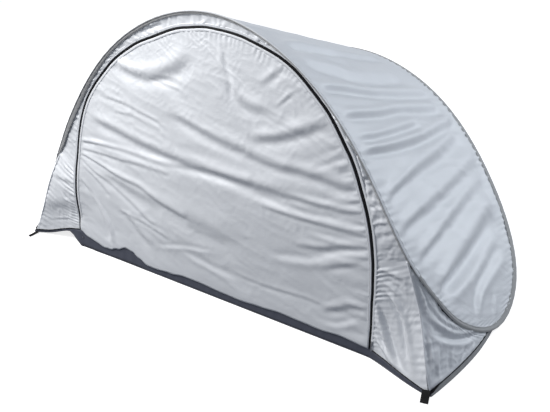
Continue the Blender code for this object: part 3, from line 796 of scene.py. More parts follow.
def make_lap():
    """The front leg of the hoop's binding, folded over the edge of the front wall."""
    step = np.linspace(-SEAM_FRONT - 0.3, SEAM_FRONT + 0.3, 520)
    outer, inner = arch_edges(np.clip(step, -SEAM_FRONT, SEAM_FRONT))
    outer = HOOP.place(step, -0.003, 0.0006)
    toward = unit(inner - outer)
    forward = unit(np.cross(toward, np.gradient(outer, axis=0)))
    forward *= np.sign(-forward[:, 1:2])
    along = np.concatenate([[0], np.cumsum(np.linalg.norm(np.diff(outer, axis=0), axis=-1))])
    reach = eased(step, LAP_AT, LAP) + 0.0006 * ripple(along, 0.03, 15)
    share = np.linspace(0, 1, 8)
    lift = 0.0046 + 0.0010 * ripple(along, 0.019, 16)[:, None] * share[None] - 0.0022 * share[None] ** 2
    grid = outer[:, None] + toward[:, None] * (0.004 + reach[:, None] * share[None])[..., None]
    grid = grid + forward[:, None] * lift[..., None]
    lap = sheet_mesh("hoop_binding_front", grid, GREY, thickness=TAPE)
    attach(lap, "shelter")


# --- Roof


ROOF_ROWS = 476
ROOF_COLUMNS = 98
# Folds run from the front arch to the rear one. Each has its height, its widths at both ends, and then places as
# the sweep step down the right half and the share of the way to the rear.
ROOF_FOLDS = [
    (0.0081, (0.026, 0.026), (4.1, 0.08), (3.8, 0.30), (3.9, 0.57), (3.5, 0.88)),
    (-0.0081, (0.026, 0.026), (4.7, 0.06), (4.6, 0.28), (4.6, 0.50)),
    (0.0108, (0.029, 0.039), (5.6, 0.05), (6.2, 0.25), (6.6, 0.42), (6.0, 0.82)),
    (0.0108, (0.018, 0.029), (7.7, 0.00), (7.7, 0.16), (8.0, 0.44), (7.8, 0.95)),
    (0.0108, (0.018, 0.029), (9.7, 0.02), (9.7, 0.32), (9.5, 0.51), (9.6, 0.92)),
    (0.0081, (0.016, 0.023), (11.2, 0.02), (11.3, 0.17), (11.1, 0.35), (10.7, 0.62)),
    (0.0135, (0.018, 0.034), (12.2, 0.01), (12.2, 0.32), (11.8, 0.63), (10.8, 0.98)),
    (0.0128, (0.021, 0.047), (15.4, 0.01), (14.9, 0.12), (14.2, 0.33), (13.3, 0.64), (12.0, 0.92)),
    (0.0128, (0.023, 0.049), (17.5, 0.01), (17.0, 0.12), (16.3, 0.45), (15.4, 0.78), (14.8, 0.99)),
    (0.0128, (0.021, 0.052), (19.4, 0.03), (18.7, 0.25), (17.7, 0.52), (16.1, 0.99)),
    (0.0176, (0.026, 0.078), (21.7, 0.02), (20.8, 0.31), (19.9, 0.61), (18.5, 0.96)),
    (-0.0112, (0.026, 0.047), (22.4, 0.06), (21.6, 0.43), (20.4, 0.70), (19.5, 0.90)),
    (-0.0096, (0.018, 0.034), (26.1, 0.05), (24.7, 0.25), (23.4, 0.43), (22.6, 0.64), (21.7, 0.90)),
    (-0.0048, (0.013, 0.018), (27.4, 0.28), (25.5, 0.51), (24.1, 0.60)),
]


def roof_space(step, share):
    """Step along the hoop from the top, negative on the left, and share from the front arch to the rear one."""
    edge = SLEEVE_HALF_WIDTH - 0.001
    share = np.asarray(share, float)[..., None]
    return mix(HOOP.place(step, edge), HOOP.place(2 * HALF - np.asarray(step, float), edge), share)


def edge_spread(count, dense):
    """count values from 0 to 1 that lie closer together near both ends."""
    t = np.linspace(0, 1, count)
    return t - dense * np.sin(math.tau * t) / math.tau


def make_roof():
    step = np.linspace(-HALF, HALF, ROOF_ROWS)
    share = edge_spread(ROOF_COLUMNS, 0.62)
    grid = roof_space(step[:, None] + 0 * share[None], share[None] + 0 * step[:, None])
    normal = grid_normals(grid, MIDDLE)
    down, over = lengths(grid)
    width = over[:, -1:]
    front, rear = over, width - over
    inner = smooth(0, 0.02, np.minimum(front, rear))
    x, y = grid[..., 0], grid[..., 1]
    flat = down[:, ROOF_COLUMNS // 2 : ROOF_COLUMNS // 2 + 1] + 0 * over
    tip = smooth(0.03, 0.20, width)
    lift = fold_all(grid, normal, ROOF_FOLDS, roof_space)
    mirrored = [(height, widths[::-1], *[(-p[0], p[1]) for p in reversed(points)]) for height, widths, *points in ROOF_FOLDS]
    lift += fold_all(grid, normal, mirrored, roof_space)
    lift += 0.0035 * tip * (crinkle(flat, over, 0.085, 21, 2.6, 1.3) - 0.3)
    lift += 0.0014 * tip * (crinkle(flat, over, 0.034, 22, 1.8, 0.9) - 0.3)
    lift *= inner
    lift += tip * gathers(front, down[:, :1] + 0 * over, 0.031, 0.0026, 0.040, 23)
    lift += tip * gathers(rear, down[:, -1:] + 0 * over, 0.028, 0.0026, 0.045, 24)
    base, grid = grid, grid + normal * lift[..., None]
    uv = np.stack([over, flat], axis=-1)
    roof = sheet_mesh("roof_cloth", grid, SILVER, uv, merge=2e-5)
    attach(roof, "shelter")
    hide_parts("roof_panel")
    return grid


# --- Front wall


SHOWN_AT = (-24, -12, -4, 0, 4, 8, 12, 17, 21, 24)
SHOWN_HALF = (0.0042, 0.0046, 0.0044, 0.0044, 0.0054, 0.0064, 0.0068, 0.0064, 0.0050, 0.0038)


def tape_shown(step):
    """Half the width of zip tape that shows between the cloth's two edges."""
    return np.interp(step, SHOWN_AT, SHOWN_HALF)


ARCH_FOLDS = [
    (0.016, (0.014, 0.016), (0.31, 1.045), (0.37, 0.985), (0.44, 0.910)),
    (0.016, (0.014, 0.018), (0.545, 0.81), (0.590, 0.71), (0.635, 0.61)),
    (0.006, (0.010, 0.010), (-0.33, 0.985), (-0.26, 1.015), (-0.19, 1.045)),
]
SIDE_FOLDS = {
    "right": [
        (-0.015, (0.010, 0.018), (0.68, 0.24), (0.71, 0.18), (0.75, 0.11), (0.80, 0.05), (0.86, 0.02)),
        (0.013, (0.011, 0.020), (0.69, 0.29), (0.74, 0.26), (0.79, 0.20), (0.83, 0.12), (0.88, 0.03)),
        (-0.005, (0.007, 0.010), (0.68, 0.20), (0.71, 0.15), (0.74, 0.11)),
        (-0.008, (0.010, 0.016), (0.68, 0.14), (0.72, 0.09), (0.78, 0.05), (0.84, 0.025)),
        (0.006, (0.010, 0.014), (0.69, 0.10), (0.73, 0.07), (0.78, 0.04)),
        (-0.005, (0.010, 0.012), (0.68, 0.33), (0.74, 0.31), (0.80, 0.27)),
        (0.006, (0.012, 0.014), (0.68, 0.355), (0.73, 0.35), (0.79, 0.335)),
    ],
    "left": [
        (0.004, (0.040, 0.040), (-0.92, 0.14), (-0.80, 0.17), (-0.69, 0.18)),
        (0.004, (0.016, 0.014), (-0.82, 0.32), (-0.76, 0.30), (-0.70, 0.29)),
        (-0.003, (0.008, 0.010), (-0.77, 0.25), (-0.75, 0.22), (-0.72, 0.21)),
        (0.002, (0.010, 0.010), (-0.90, 0.075), (-0.80, 0.085), (-0.71, 0.09)),
    ],
}
# Folds of the door: height, widths at both ends, and then places as x and z in the plane of the wall
DOOR_FOLDS = [
    (0.0070, (0.022, 0.040), (-0.46, 0.87), (-0.40, 0.84), (-0.31, 0.83), (-0.22, 0.85), (-0.13, 0.90), (-0.06, 0.96)),
    (0.0060, (0.030, 0.060), (-0.56, 0.40), (-0.44, 0.37), (-0.37, 0.35), (-0.22, 0.33), (-0.05, 0.30), (0.15, 0.27)),
    (0.0024, (0.014, 0.014), (-0.31, 0.80), (-0.24, 0.835), (-0.15, 0.84), (-0.08, 0.82)),
    (0.0032, (0.021, 0.021), (-0.56, 0.74), (-0.52, 0.72), (-0.47, 0.71)),
    (0.0080, (0.025, 0.032), (-0.60, 0.61), (-0.48, 0.59), (-0.33, 0.565), (-0.14, 0.545), (0.04, 0.54), (0.17, 0.53),
     (0.38, 0.54)),
    (-0.0032, (0.018, 0.021), (-0.64, 0.52), (-0.48, 0.51), (-0.33, 0.51), (-0.05, 0.52), (0.17, 0.50)),
    (0.0048, (0.018, 0.025), (-0.48, 0.25), (-0.40, 0.21), (-0.35, 0.16), (-0.27, 0.10)),
    (0.0072, (0.028, 0.025), (-0.20, 0.735), (-0.09, 0.70), (0.02, 0.67), (0.13, 0.655), (0.25, 0.63), (0.40, 0.63),
     (0.59, 0.615)),
    (-0.0024, (0.011, 0.016), (0.05, 1.03), (0.06, 0.95), (0.08, 0.89), (0.08, 0.80)),
    (0.0064, (0.018, 0.032), (0.06, 0.95), (0.09, 0.88), (0.13, 0.83), (0.20, 0.81), (0.28, 0.82)),
    (0.0024, (0.008, 0.009), (0.26, 0.82), (0.29, 0.85), (0.33, 0.89), (0.36, 0.92)),
    (0.0032, (0.016, 0.016), (0.20, 0.89), (0.25, 0.93), (0.31, 0.99)),
    (0.0064, (0.021, 0.030), (0.15, 0.70), (0.25, 0.72), (0.31, 0.74), (0.37, 0.77), (0.43, 0.80), (0.50, 0.83)),
    (-0.0024, (0.014, 0.014), (0.36, 0.55), (0.49, 0.55), (0.62, 0.56)),
    (0.0032, (0.014, 0.016), (0.26, 0.52), (0.38, 0.53), (0.50, 0.53), (0.63, 0.54)),
    (-0.0032, (0.016, 0.016), (0.16, 0.49), (0.38, 0.48), (0.55, 0.49), (0.66, 0.49)),
    (0.0032, (0.011, 0.014), (0.20, 0.465), (0.38, 0.46), (0.64, 0.465)),
    (-0.0024, (0.014, 0.014), (0.38, 0.42), (0.56, 0.42), (0.66, 0.43)),
    (0.0040, (0.016, 0.016), (0.33, 0.35), (0.47, 0.37), (0.56, 0.40), (0.66, 0.42)),
    (-0.0040, (0.018, 0.025), (0.24, 0.27), (0.43, 0.31), (0.54, 0.37), (0.66, 0.40)),
    (0.0032, (0.014, 0.014), (0.45, 0.28), (0.53, 0.32), (0.65, 0.37)),
    (0.0024, (0.010, 0.010), (0.07, 0.15), (0.24, 0.14), (0.42, 0.15), (0.52, 0.14)),
    (0.0056, (0.016, 0.023), (0.46, 0.11), (0.575, 0.17), (0.66, 0.20)),
    (-0.0032, (0.014, 0.016), (0.45, 0.08), (0.54, 0.085), (0.60, 0.12), (0.66, 0.16)),
    (-0.0024, (0.011, 0.011), (-0.30, 0.12), (-0.13, 0.18), (0.04, 0.21)),
    (-0.0032, (0.016, 0.018), (-0.16, 0.155), (0.02, 0.13), (0.15, 0.115)),
]
# Sharper creases, most of them fanning out from the zip's left leg
DOOR_CREASES = [
    (0.0050, (0.007, 0.024), (-0.66, 0.49), (-0.55, 0.505), (-0.41, 0.51), (-0.22, 0.51), (-0.02, 0.53), (0.20, 0.54)),
    (0.0034, (0.006, 0.014), (-0.66, 0.46), (-0.55, 0.465), (-0.44, 0.467), (-0.32, 0.475), (-0.18, 0.47)),
    (0.0050, (0.006, 0.022), (-0.66, 0.44), (-0.53, 0.413), (-0.42, 0.392), (-0.33, 0.38), (-0.23, 0.34), (-0.10, 0.31)),
    (0.0032, (0.006, 0.015), (-0.66, 0.42), (-0.59, 0.38), (-0.51, 0.35), (-0.425, 0.31), (-0.35, 0.27), (-0.27, 0.22)),
    (0.0026, (0.006, 0.012), (-0.66, 0.395), (-0.61, 0.366), (-0.56, 0.336), (-0.50, 0.29)),
    (0.0046, (0.007, 0.020), (-0.665, 0.33), (-0.60, 0.262), (-0.564, 0.20), (-0.53, 0.12), (-0.52, 0.06)),
    (-0.0036, (0.006, 0.016), (-0.64, 0.30), (-0.575, 0.24), (-0.53, 0.18), (-0.49, 0.10)),
    (0.0030, (0.009, 0.012), (-0.46, 0.24), (-0.36, 0.226), (-0.26, 0.205), (-0.19, 0.185)),
    (0.0020, (0.008, 0.008), (-0.28, 0.83), (-0.20, 0.818), (-0.11, 0.81)),
    (0.0026, (0.009, 0.009), (-0.50, 0.71), (-0.376, 0.70), (-0.30, 0.683), (-0.21, 0.67)),
    (0.0018, (0.008, 0.008), (-0.46, 0.66), (-0.36, 0.665), (-0.28, 0.65), (-0.20, 0.64)),
]


def make_front_arch():
    rows, columns = 620, 18
    # A last row close to each edge keeps the shading flat up to it
    step = np.linspace(-SEAM_FRONT, SEAM_FRONT, rows)
    step[1], step[-2] = step[0] + 0.004, step[-1] - 0.004
    outer, inner = arch_edges(step)
    share = np.linspace(0, 1, columns)[None, :, None]
    grid = mix(outer[:, None], inner[:, None], share)
    normal = grid_normals(grid, MIDDLE)
    down, over = lengths(grid)
    width = over[:, -1:]
    along = down[:, -1:] + 0 * over
    hang = np.sin(math.pi * over / width)
    ends = smooth(SEAM_FRONT, SEAM_FRONT - 0.3, np.abs(step))[:, None]
    loose = 0.45 + 0.75 * smooth(2, 8, step)[:, None]
    lift = 0.0016 * hang * ripple(along, 0.041, 31) * smooth(-0.7, 0.3, noise(along / 0.25, over / 0.2, 32))
    lift += 0.0085 * loose * hang * (crinkle(along, over, 0.055, 33, 1.0, 0.0) - 0.3)
    lift += 0.0030 * loose * hang * (crinkle(along, over, 0.024, 36, 1.4, 0.9) - 0.3)
    lift += fold_all(grid, normal, ARCH_FOLDS, wall_space) * hang
    lift += gathers(over, along, 0.026, 0.0012, 0.03, 34) + gathers(width - over, along, 0.021, 0.0013, 0.03, 35, 0.011)
    base, grid = grid, grid + normal * (lift * ends)[..., None]
    arch = sheet_mesh("front_arch_cloth", grid, SILVER, np.stack([over, down], axis=-1))
    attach(arch, "shelter")
    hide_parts("front_arch_panel")


def make_front_sides():
    rows, columns = 100, 80
    for side, name in ((1, "right"), (-1, "left")):
        step = np.linspace(SEAM_FRONT, ZIP_STEPS, rows)
        step[1] = step[0] + 0.004
        x, z = zip_place(side * step, tape_shown(side * step))
        inner = wall_point(x, z, 0.0005)
        first = arch_edges(np.array([float(side * SEAM_FRONT)]))[0][0]
        foot = corner_seam(side)[1]
        share = ((step - SEAM_FRONT) / ZIP_SIDE_STEPS)[:, None]
        outer = mix(first, foot, share)
        fraction = np.linspace(0, 1, columns)[None, :, None]
        grid = mix(outer[:, None], inner[:, None], fraction)
        foot_line = hem_point(mix(outer[-1, 0], inner[-1, 0], fraction[0, :, 0]), 0.002)
        settle = smooth(0.75, 1.0, share)[:, :, None]
        grid = grid + (foot_line - grid[-1])[None] * settle
        normal = grid_normals(grid, MIDDLE)
        down, over = lengths(grid)
        width = over[:, -1:]
        ends = smooth(0, 0.012, down)
        inner_mask = smooth(0, 0.012, over) * smooth(0.004, 0.018, width - over) * smooth(0, 0.02, down[-1:] - down)
        folds = SIDE_FOLDS[name]
        lift = fold_all(grid, normal, folds, wall_space)
        lift += 0.0026 * (crinkle(over, down, 0.06, 41 + side, 2.6, 1.0) - 0.3)
        lift += 0.0014 * (crinkle(over, down, 0.03, 43 + side, 2.0, 0.7) - 0.3)
        lift *= inner_mask
        beside_zip = 0.0030 * smooth(0.20, 0.05, down - 0.05) + 0.0016
        lift += gathers(over, down, 0.026, 0.0016, 0.04, 45)
        lift += gathers(width - over, down, 0.019, 1.0, 0.045, 46, 0.011) * beside_zip
        base, grid = grid, grid + normal * (lift * ends)[..., None]
        panel = sheet_mesh(f"front_side_cloth_{name}", grid, SILVER)
        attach(panel, "shelter")
        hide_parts(f"front_side_panel_{name}")


DOOR_ROWS = 214
DOOR_COLUMNS = 214
# Where the door's lower edge hangs and how high it is there
HEM_X = (-0.70, -0.647, -0.60, -0.564, -0.53, -0.49, -0.44, -0.405, -0.37, -0.324, -0.29, -0.21, -0.134, -0.06, 0.05, 0.13,
         0.22, 0.31, 0.40, 0.48, 0.561, 0.665)
HEM_Z = (0.040, 0.014, 0.011, 0.010, 0.022, 0.045, 0.066, 0.060, 0.040, 0.020, 0.020, 0.028, 0.041, 0.043, 0.037, 0.034,
         0.040, 0.047, 0.044, 0.041, 0.048, 0.040)


def make_door():
    step = np.linspace(0.0, ZIP_STEPS, DOOR_ROWS)
    step[0] = 0.15
    across = np.linspace(-1, 1, DOOR_COLUMNS)
    left_x, left_z = zip_place(-step, -tape_shown(-step), DOOR_FOOT)
    right_x, right_z = zip_place(step, -tape_shown(step), DOOR_FOOT)
    share = (across[None] + 1) / 2
    x = mix(left_x[:, None], right_x[:, None], share)
    z = mix(left_z[:, None], right_z[:, None], share)
    up = np.clip((z - DOOR_FOOT) / (ZIP_SPRING_Z + ZIP_RISE - DOOR_FOOT), 0, 1)
    belly = DOOR_BELLY * (1 - across[None] ** 2) * 4 * up * (1 - up)
    # The foot hangs a little lower than the fold line, in waves, outside the groundsheet's lip
    hem = hem_line(x[-1])
    hang = smooth(0.14, 0.06, z)
    z = z + (hem[None] - DOOR_FOOT) * smooth(0.24, DOOR_FOOT, z)
    grid = wall_point(x, z, 0.0)
    grid[..., 1] -= belly + 0.0046 * hang
    normal = grid_normals(grid, MIDDLE)
    down, over = lengths(grid)
    width = over[:, -1:]
    edge_left, edge_right = over, width - over
    top = down
    beside = np.minimum(np.minimum(edge_left, edge_right), top + 0.004)
    inner = smooth(0.006, 0.026, beside) * smooth(0.0, 0.03, down[-1:] - down)
    lift = fold_all(grid, normal, DOOR_FOLDS, wall_space) + fold_all(grid, normal, DOOR_CREASES, wall_space, 0.03)
    wx, wz = grid[..., 0], grid[..., 2]
    lift += 0.0024 * (crinkle(wx, wz, 0.080, 51, 4.0, -0.30) - 0.3)
    lift += 0.0016 * (crinkle(wx, wz, 0.036, 52, 3.0, -0.45) - 0.3)
    lift += 0.0008 * (crinkle(wx, wz, 0.022, 53, 1.8, 0.6) - 0.3)
    lift *= inner
    edge = np.linspace(-ZIP_STEPS, ZIP_STEPS, 1400)
    edge_x, edge_z = zip_place(edge, -tape_shown(edge), DOOR_FOOT)
    away, edge_along = nearest(np.stack([x, z], axis=-1), np.stack([edge_x, edge_z], axis=-1))
    far_side = smooth(0.30, 0.55, x) * smooth(0.85, 0.65, z)
    lift += gathers(away, edge_along, 0.021, 1.0, 0.020, 54, 0.014) * (0.0022 + 0.0014 * far_side)
    lift += gathers(away, edge_along, 0.046, 0.0042, 0.070, 55, 0.03) * far_side
    base, grid = grid, grid + normal * lift[..., None]
    door = sheet_mesh("door_cloth", grid, SILVER, np.stack([x, z], axis=-1), merge=2e-5)
    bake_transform(door)
    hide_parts("door_panel", "door_hem")


def hem_line(x):
    """Height of the door's lower edge."""
    return eased(x, HEM_X, HEM_Z)


def make_zip():
    rows = 560
    step = np.linspace(-ZIP_STEPS, ZIP_STEPS, rows)
    for body, name, sign, foot in (("shelter", "frame", 1, ZIP_FOOT), ("door", "door", -1, DOOR_FOOT)):
        near_x, near_z = zip_place(step, sign * 0.0006, foot)
        far_x, far_z = zip_place(step, sign * 0.0125, foot)
        share = np.linspace(0, 1, 5)[None, :, None]
        near, far = wall_point(near_x, near_z, -0.0016), wall_point(far_x, far_z, -0.0016)
        grid = mix(near[:, None], far[:, None], share)
        tape = sheet_mesh(f"zip_tape_{name}_woven", grid, NYLON, thickness=TAPE)
        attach(tape, body)
        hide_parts(f"zip_tape_{name}")
        make_teeth(body, name, sign, foot)


FACING_NEAR = 0.0002  # beyond the cloth's edge
FACING_FAR = 0.0095
STITCH_PITCH = 0.0046


def make_facings():
    """The turned edges beside the zip, and their rows of stitches."""
    step = np.linspace(-ZIP_STEPS, ZIP_STEPS, 700)
    for body, name, sign, foot in (("shelter", "frame", 1, ZIP_FOOT), ("door", "door", -1, DOOR_FOOT)):
        edges = []
        for beside in np.linspace(FACING_NEAR, FACING_FAR, 5):
            x, z = zip_place(step, sign * (tape_shown(step) + beside), foot)
            edges.append(wall_point(x, z, 0.0011))
        grid = np.stack(edges, axis=1)
        facing = sheet_mesh(f"zip_facing_{name}", grid, SILVER, thickness=TAPE)
        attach(facing, body)
        dense = np.linspace(-ZIP_STEPS + 0.1, ZIP_STEPS - 0.1, 6000)
        line = facing_place(dense, sign, foot)
        along = np.concatenate([[0], np.cumsum(np.linalg.norm(np.diff(line, axis=0), axis=-1))])
        where = np.interp(np.arange(STITCH_PITCH, along[-1], STITCH_PITCH), along, dense)
        centres = facing_place(where, sign, foot)
        ahead = unit(facing_place(where + 0.02, sign, foot) - facing_place(where - 0.02, sign, foot))
        out = np.repeat(np.array([[0, -1.0, LEAN]]), len(where), 0)
        stitches = dashes(f"zip_stitching_{name}", centres, ahead, unit(out - dot(out, ahead) * ahead),
                          (0.0030, 0.0008, 0.0010), THREAD)
        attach(stitches, body)


def facing_place(step, sign, foot):
    x, z = zip_place(step, sign * (tape_shown(step) + 0.0072), foot)
    return wall_point(x, z, 0.0014)


TOOTH_PITCH = 0.0024


def make_teeth(body, name, sign, foot):
    dense = np.linspace(-ZIP_STEPS + 0.15, ZIP_STEPS - 0.15, 6000)
    x, z = zip_place(dense, 0.0, foot)
    along = np.concatenate([[0], np.cumsum(np.hypot(np.diff(x), np.diff(z)))])
    start = 0.0 if sign > 0 else TOOTH_PITCH / 2
    at = np.arange(start, along[-1], TOOTH_PITCH)
    where = np.interp(at, along, dense)
    tx, tz = zip_place(where, sign * 0.0014, foot)
    ox, oz = zip_place(where, sign * 0.0034, foot)
    centres = wall_point(tx, tz, -0.0012)
    away = unit(wall_point(ox, oz, -0.0012) - centres)
    out = np.repeat(np.array([[0, -1.0, LEAN]]), len(at), 0)
    teeth = dashes(f"zip_teeth_{name}", centres, away, unit(out - dot(out, away) * away), (0.0046, 0.0011, 0.0022), TEETH)
    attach(teeth, body)


# --- Rear wall, gussets and seams


def make_rear_wall():
    names = ("right", "middle", "left")
    join = SEAM_REAR - 6
    straight = SEAM_REAR - 4
    bounds = (-SEAM_REAR, -(SEAM_REAR - join) - 0, (SEAM_REAR - join), SEAM_REAR)
    spans = ((-SEAM_REAR, -6), (-6, 6), (6, SEAM_REAR))
    outer = CORNER_REAR[0] - 0.014
    for name, (start, end) in zip(names, spans):
        rows = int((end - start) * 9)
        step = np.linspace(start, end, rows)
        reach = np.abs(step)
        x = HEM_HALF_REAR * np.minimum(reach, straight) / straight
        x += (outer - HEM_HALF_REAR) * np.maximum(0, reach - straight) / 4
        foot = hem_point(np.where(step < 0, x, -x), 0.001, True)
        top = HOOP.place(2 * HALF + step, 0.001, -SLEEVE_HALF_THICKNESS + 0.0012)
        fraction = np.linspace(0, 1, 96)[None, :, None]
        grid = mix(top[:, None], foot[:, None], fraction)
        normal = grid_normals(grid, MIDDLE)
        down, over = lengths(grid)
        width = over[:, -1:]
        wx, wz = grid[..., 0], grid[..., 2]
        mask = smooth(0, 0.02, over) * smooth(0, 0.02, width - over)
        mask = mask * smooth(0, 0.015, down) * smooth(0, 0.015, down[-1:] - down)
        lift = 0.0060 * (crinkle(wx, wz, 0.12, 61, 2.4, 0.5) - 0.3) + 0.0026 * (crinkle(wx, wz, 0.05, 62, 2.0, -0.4) - 0.3)
        lift *= mask
        lift += gathers(over, down, 0.027, 0.0022, 0.05, 63) + gathers(width - over, down, 0.03, 0.0020, 0.04, 64)
        base, grid = grid, grid + normal * lift[..., None]
        wall = sheet_mesh(f"rear_wall_cloth_{name}", grid, SILVER)
        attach(wall, "shelter")
        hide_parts(f"rear_wall_{name}")


def gusset_grid(side, rear, rows, columns):
    top_end, foot_end = corner_seam(side, rear)
    if rear:
        last = 2 * HALF - SEAM_REAR
        step = np.linspace(last - 1, GUSSET_END_REAR, rows)
        share = (last - step) / (last - GUSSET_END_REAR)
        foot = side_point(CORNER_REAR[1] - 0.012 - 0.52 * share, side, 0.001)
    else:
        step = np.linspace(SEAM_FRONT + 1, GUSSET_END_FRONT, rows)
        share = (step - SEAM_FRONT) / (GUSSET_END_FRONT - SEAM_FRONT)
        foot = side_point(CORNER_FRONT[1] + 0.012 + 0.33 * share, side, 0.003)
        foot[:, 2] += strip_top(foot[:, 1])
    top = HOOP.place(side * step, 0.001, -SLEEVE_HALF_THICKNESS + 0.0012)
    # The first rows fan out from the seam
    lead = rows // 6
    first_top = mix(top_end, foot_end, 0.012 if rear else 0.02)
    t = (np.arange(lead) / lead)[:, None]
    top = np.vstack([mix(first_top, top[0], t), top])
    foot = np.vstack([mix(foot_end, foot[0], t), foot])
    fraction = np.linspace(0, 1, columns)[None, :, None]
    return mix(top[:, None], foot[:, None], fraction)


# Folds of a gusset: places as the share along it from the corner's seam, and the share down from the hoop
GUSSET_FOLDS = [
    (0.007, (0.012, 0.016), (0.03, 0.42), (0.25, 0.46), (0.55, 0.48), (0.90, 0.42)),
    (-0.006, (0.012, 0.014), (0.05, 0.56), (0.30, 0.59), (0.60, 0.61), (0.90, 0.55)),
    (0.004, (0.010, 0.010), (0.15, 0.28), (0.40, 0.33), (0.75, 0.30)),
    (0.006, (0.007, 0.014), (0.14, 0.97), (0.18, 0.80), (0.24, 0.62)),
    (-0.006, (0.007, 0.014), (0.28, 0.97), (0.36, 0.80), (0.42, 0.66)),
    (0.006, (0.007, 0.012), (0.45, 0.96), (0.55, 0.82), (0.62, 0.70)),
    (-0.004, (0.007, 0.012), (0.62, 0.95), (0.70, 0.84), (0.78, 0.74)),
    (0.005, (0.007, 0.010), (0.05, 0.08), (0.08, 0.25), (0.05, 0.42)),
    (-0.005, (0.007, 0.010), (0.10, 0.10), (0.14, 0.28), (0.10, 0.45)),
    (0.005, (0.007, 0.010), (0.04, 0.55), (0.07, 0.70), (0.05, 0.90)),
]


def make_gussets():
    for rear, end in ((False, "front"), (True, "rear")):
        for side, name in ((1, "right"), (-1, "left")):
            grid = gusset_grid(side, rear, 76, 80)
            normal = grid_normals(grid, MIDDLE)
            down, over = lengths(grid)
            width = over[:, -1:]
            y, z = grid[..., 1], grid[..., 2]
            rows, columns = grid.shape[0] - 1, grid.shape[1] - 1

            def space(along, across, grid=grid, rows=rows, columns=columns):
                return grid[np.rint(along * rows).astype(int), np.rint(across * columns).astype(int)]

            mask = smooth(0, 0.015, over) * smooth(0, 0.012, width - over) * smooth(0, 0.01, down)
            turn = -side if rear else side
            folds = [(turn * height, *rest) for height, *rest in GUSSET_FOLDS]
            lift = fold_all(grid, normal, folds, space)
            seam = 1 + 1.2 * smooth(0.07, 0.0, down)
            lift += 0.0050 * seam * (crinkle(y, z, 0.060, 71 + rear, 2.2, 0.8 if not rear else -0.7) - 0.3)
            lift += 0.0024 * seam * (crinkle(y, z, 0.026, 73 + rear, 1.6, -0.6) - 0.3)
            lift *= mask
            lift += gathers(over, down, 0.024, 0.0020, 0.05, 75)
            base, grid = grid, grid + normal * lift[..., None]
            gusset = sheet_mesh(f"gusset_cloth_{end}_{name}", grid, SILVER)
            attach(gusset, "shelter")
            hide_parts(f"gusset_{end}_{name}")


def bead(name, points, radius, material, body="shelter", sides=8, nodes=(), shadow_swell=0.0):
    """A round cord. It is shadow_swell times thicker half way along; on the hoop's piping that swelling of black cord
    is painted shadow.
    """
    points = even(points, 0.006)
    first, second = line_axes(points)
    along = np.concatenate([[0], np.cumsum(np.linalg.norm(np.diff(points, axis=0), axis=-1))])
    angle = (np.arange(sides) + 0.5) / sides * math.tau
    swell = radius * (1 + 0.08 * ripple(along, 0.02, 81)) * (1 + shadow_swell * np.sin(math.pi * along / along[-1]) ** 2)
    section = np.stack([np.cos(angle)[None] * swell[:, None], np.sin(angle)[None] * swell[:, None]], axis=-1)
    made = sweep(name, points, first, second, section, material)
    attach(made, body)
    if nodes:
        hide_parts(*nodes)
    return made


def make_seams():
    for side, name in ((1, "right"), (-1, "left")):
        for rear, end in ((False, "front"), (True, "rear")):
            top, foot = corner_seam(side, rear)
            bead(f"corner_seam_cord_{end}_{name}", np.array([top, foot]), BEAD, SILVER,
                 nodes=[f"corner_seam_{end}_{name}"])
        step = side * np.linspace(SEAM_FRONT + 0.3, GUSSET_END_FRONT, 80)
        line = HOOP.place(step, 0.0, -(SLEEVE_HALF_THICKNESS + GAP + BEAD))
        # The piping itself is real. Half way along it swells to 3.4 times its thickness, and this is painted shadow:
        # black cord placed where the shade under the hoop falls.
        bead(f"hoop_piping_cord_painted_shadow_{name}", line, BEAD, BLACK, nodes=[f"hoop_piping_{name}"], shadow_swell=2.4)
        x = side * np.linspace(ZIP_HALF_WIDTH + 0.010, CORNER_FRONT[0] - 0.006, 60)
        bead(f"hem_binding_tape_{name}", hem_point(x, GAP + BEAD), BEAD, BLACK,
             nodes=[f"hem_binding_{name}"])
        line = side_point(CORNER_FRONT[1] + 0.0095 + np.linspace(0, 0.33, 60), side, GAP + BEAD)
        line[:, 2] += strip_top(line[:, 1])
        bead(f"side_piping_cord_{name}", line, BEAD, BLACK, nodes=[f"side_piping_{name}"])


# --- Groundsheet, loops and metal


def ground_outline(count_side=60, count_hem=90):
    ys = np.linspace(CORNER_FRONT[1], CORNER_REAR[1], count_side)
    half = np.array((CLOTH / 2, 0, 0))
    front = hem_point(np.linspace(-HEM_HALF, HEM_HALF, count_hem))
    front[:, 1] -= CLOTH / 2
    right = side_point(ys, 1) + half
    rear = hem_point(np.linspace(HEM_HALF_REAR, -HEM_HALF_REAR, count_hem), 0, True)
    rear[:, 1] += CLOTH / 2
    left = side_point(ys[::-1], -1) - half
    return np.vstack([front, right, rear, left])


def make_ground():
    outline = even(np.vstack([ground_outline(), ground_outline()[:1]]) * np.array((1, 1, 0)), 0.02)[:-1]
    rings = 34
    share = np.linspace(0, 1, rings)
    grid = outline[None] * share[::-1][:, None, None]
    x, y = grid[..., 0], grid[..., 1]
    edge = smooth(0, 0.12, share)[:, None]
    grid[..., 2] = SHEET / 2 + 0.0006 + edge * (0.0035 * crinkle(x, y, 0.16, 91, 2.0, 0.3) + 0.0012 * crinkle(x, y, 0.06, 92))
    grid[..., 2] += corner_rise(x, y)
    floor = sheet_mesh("groundsheet_cloth", grid, FLOOR_PAINTED_SHADE, grid[..., :2].copy(), thickness=0.0012, merge=2e-5, closed=True)
    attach(floor, "shelter")
    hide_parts("groundsheet")


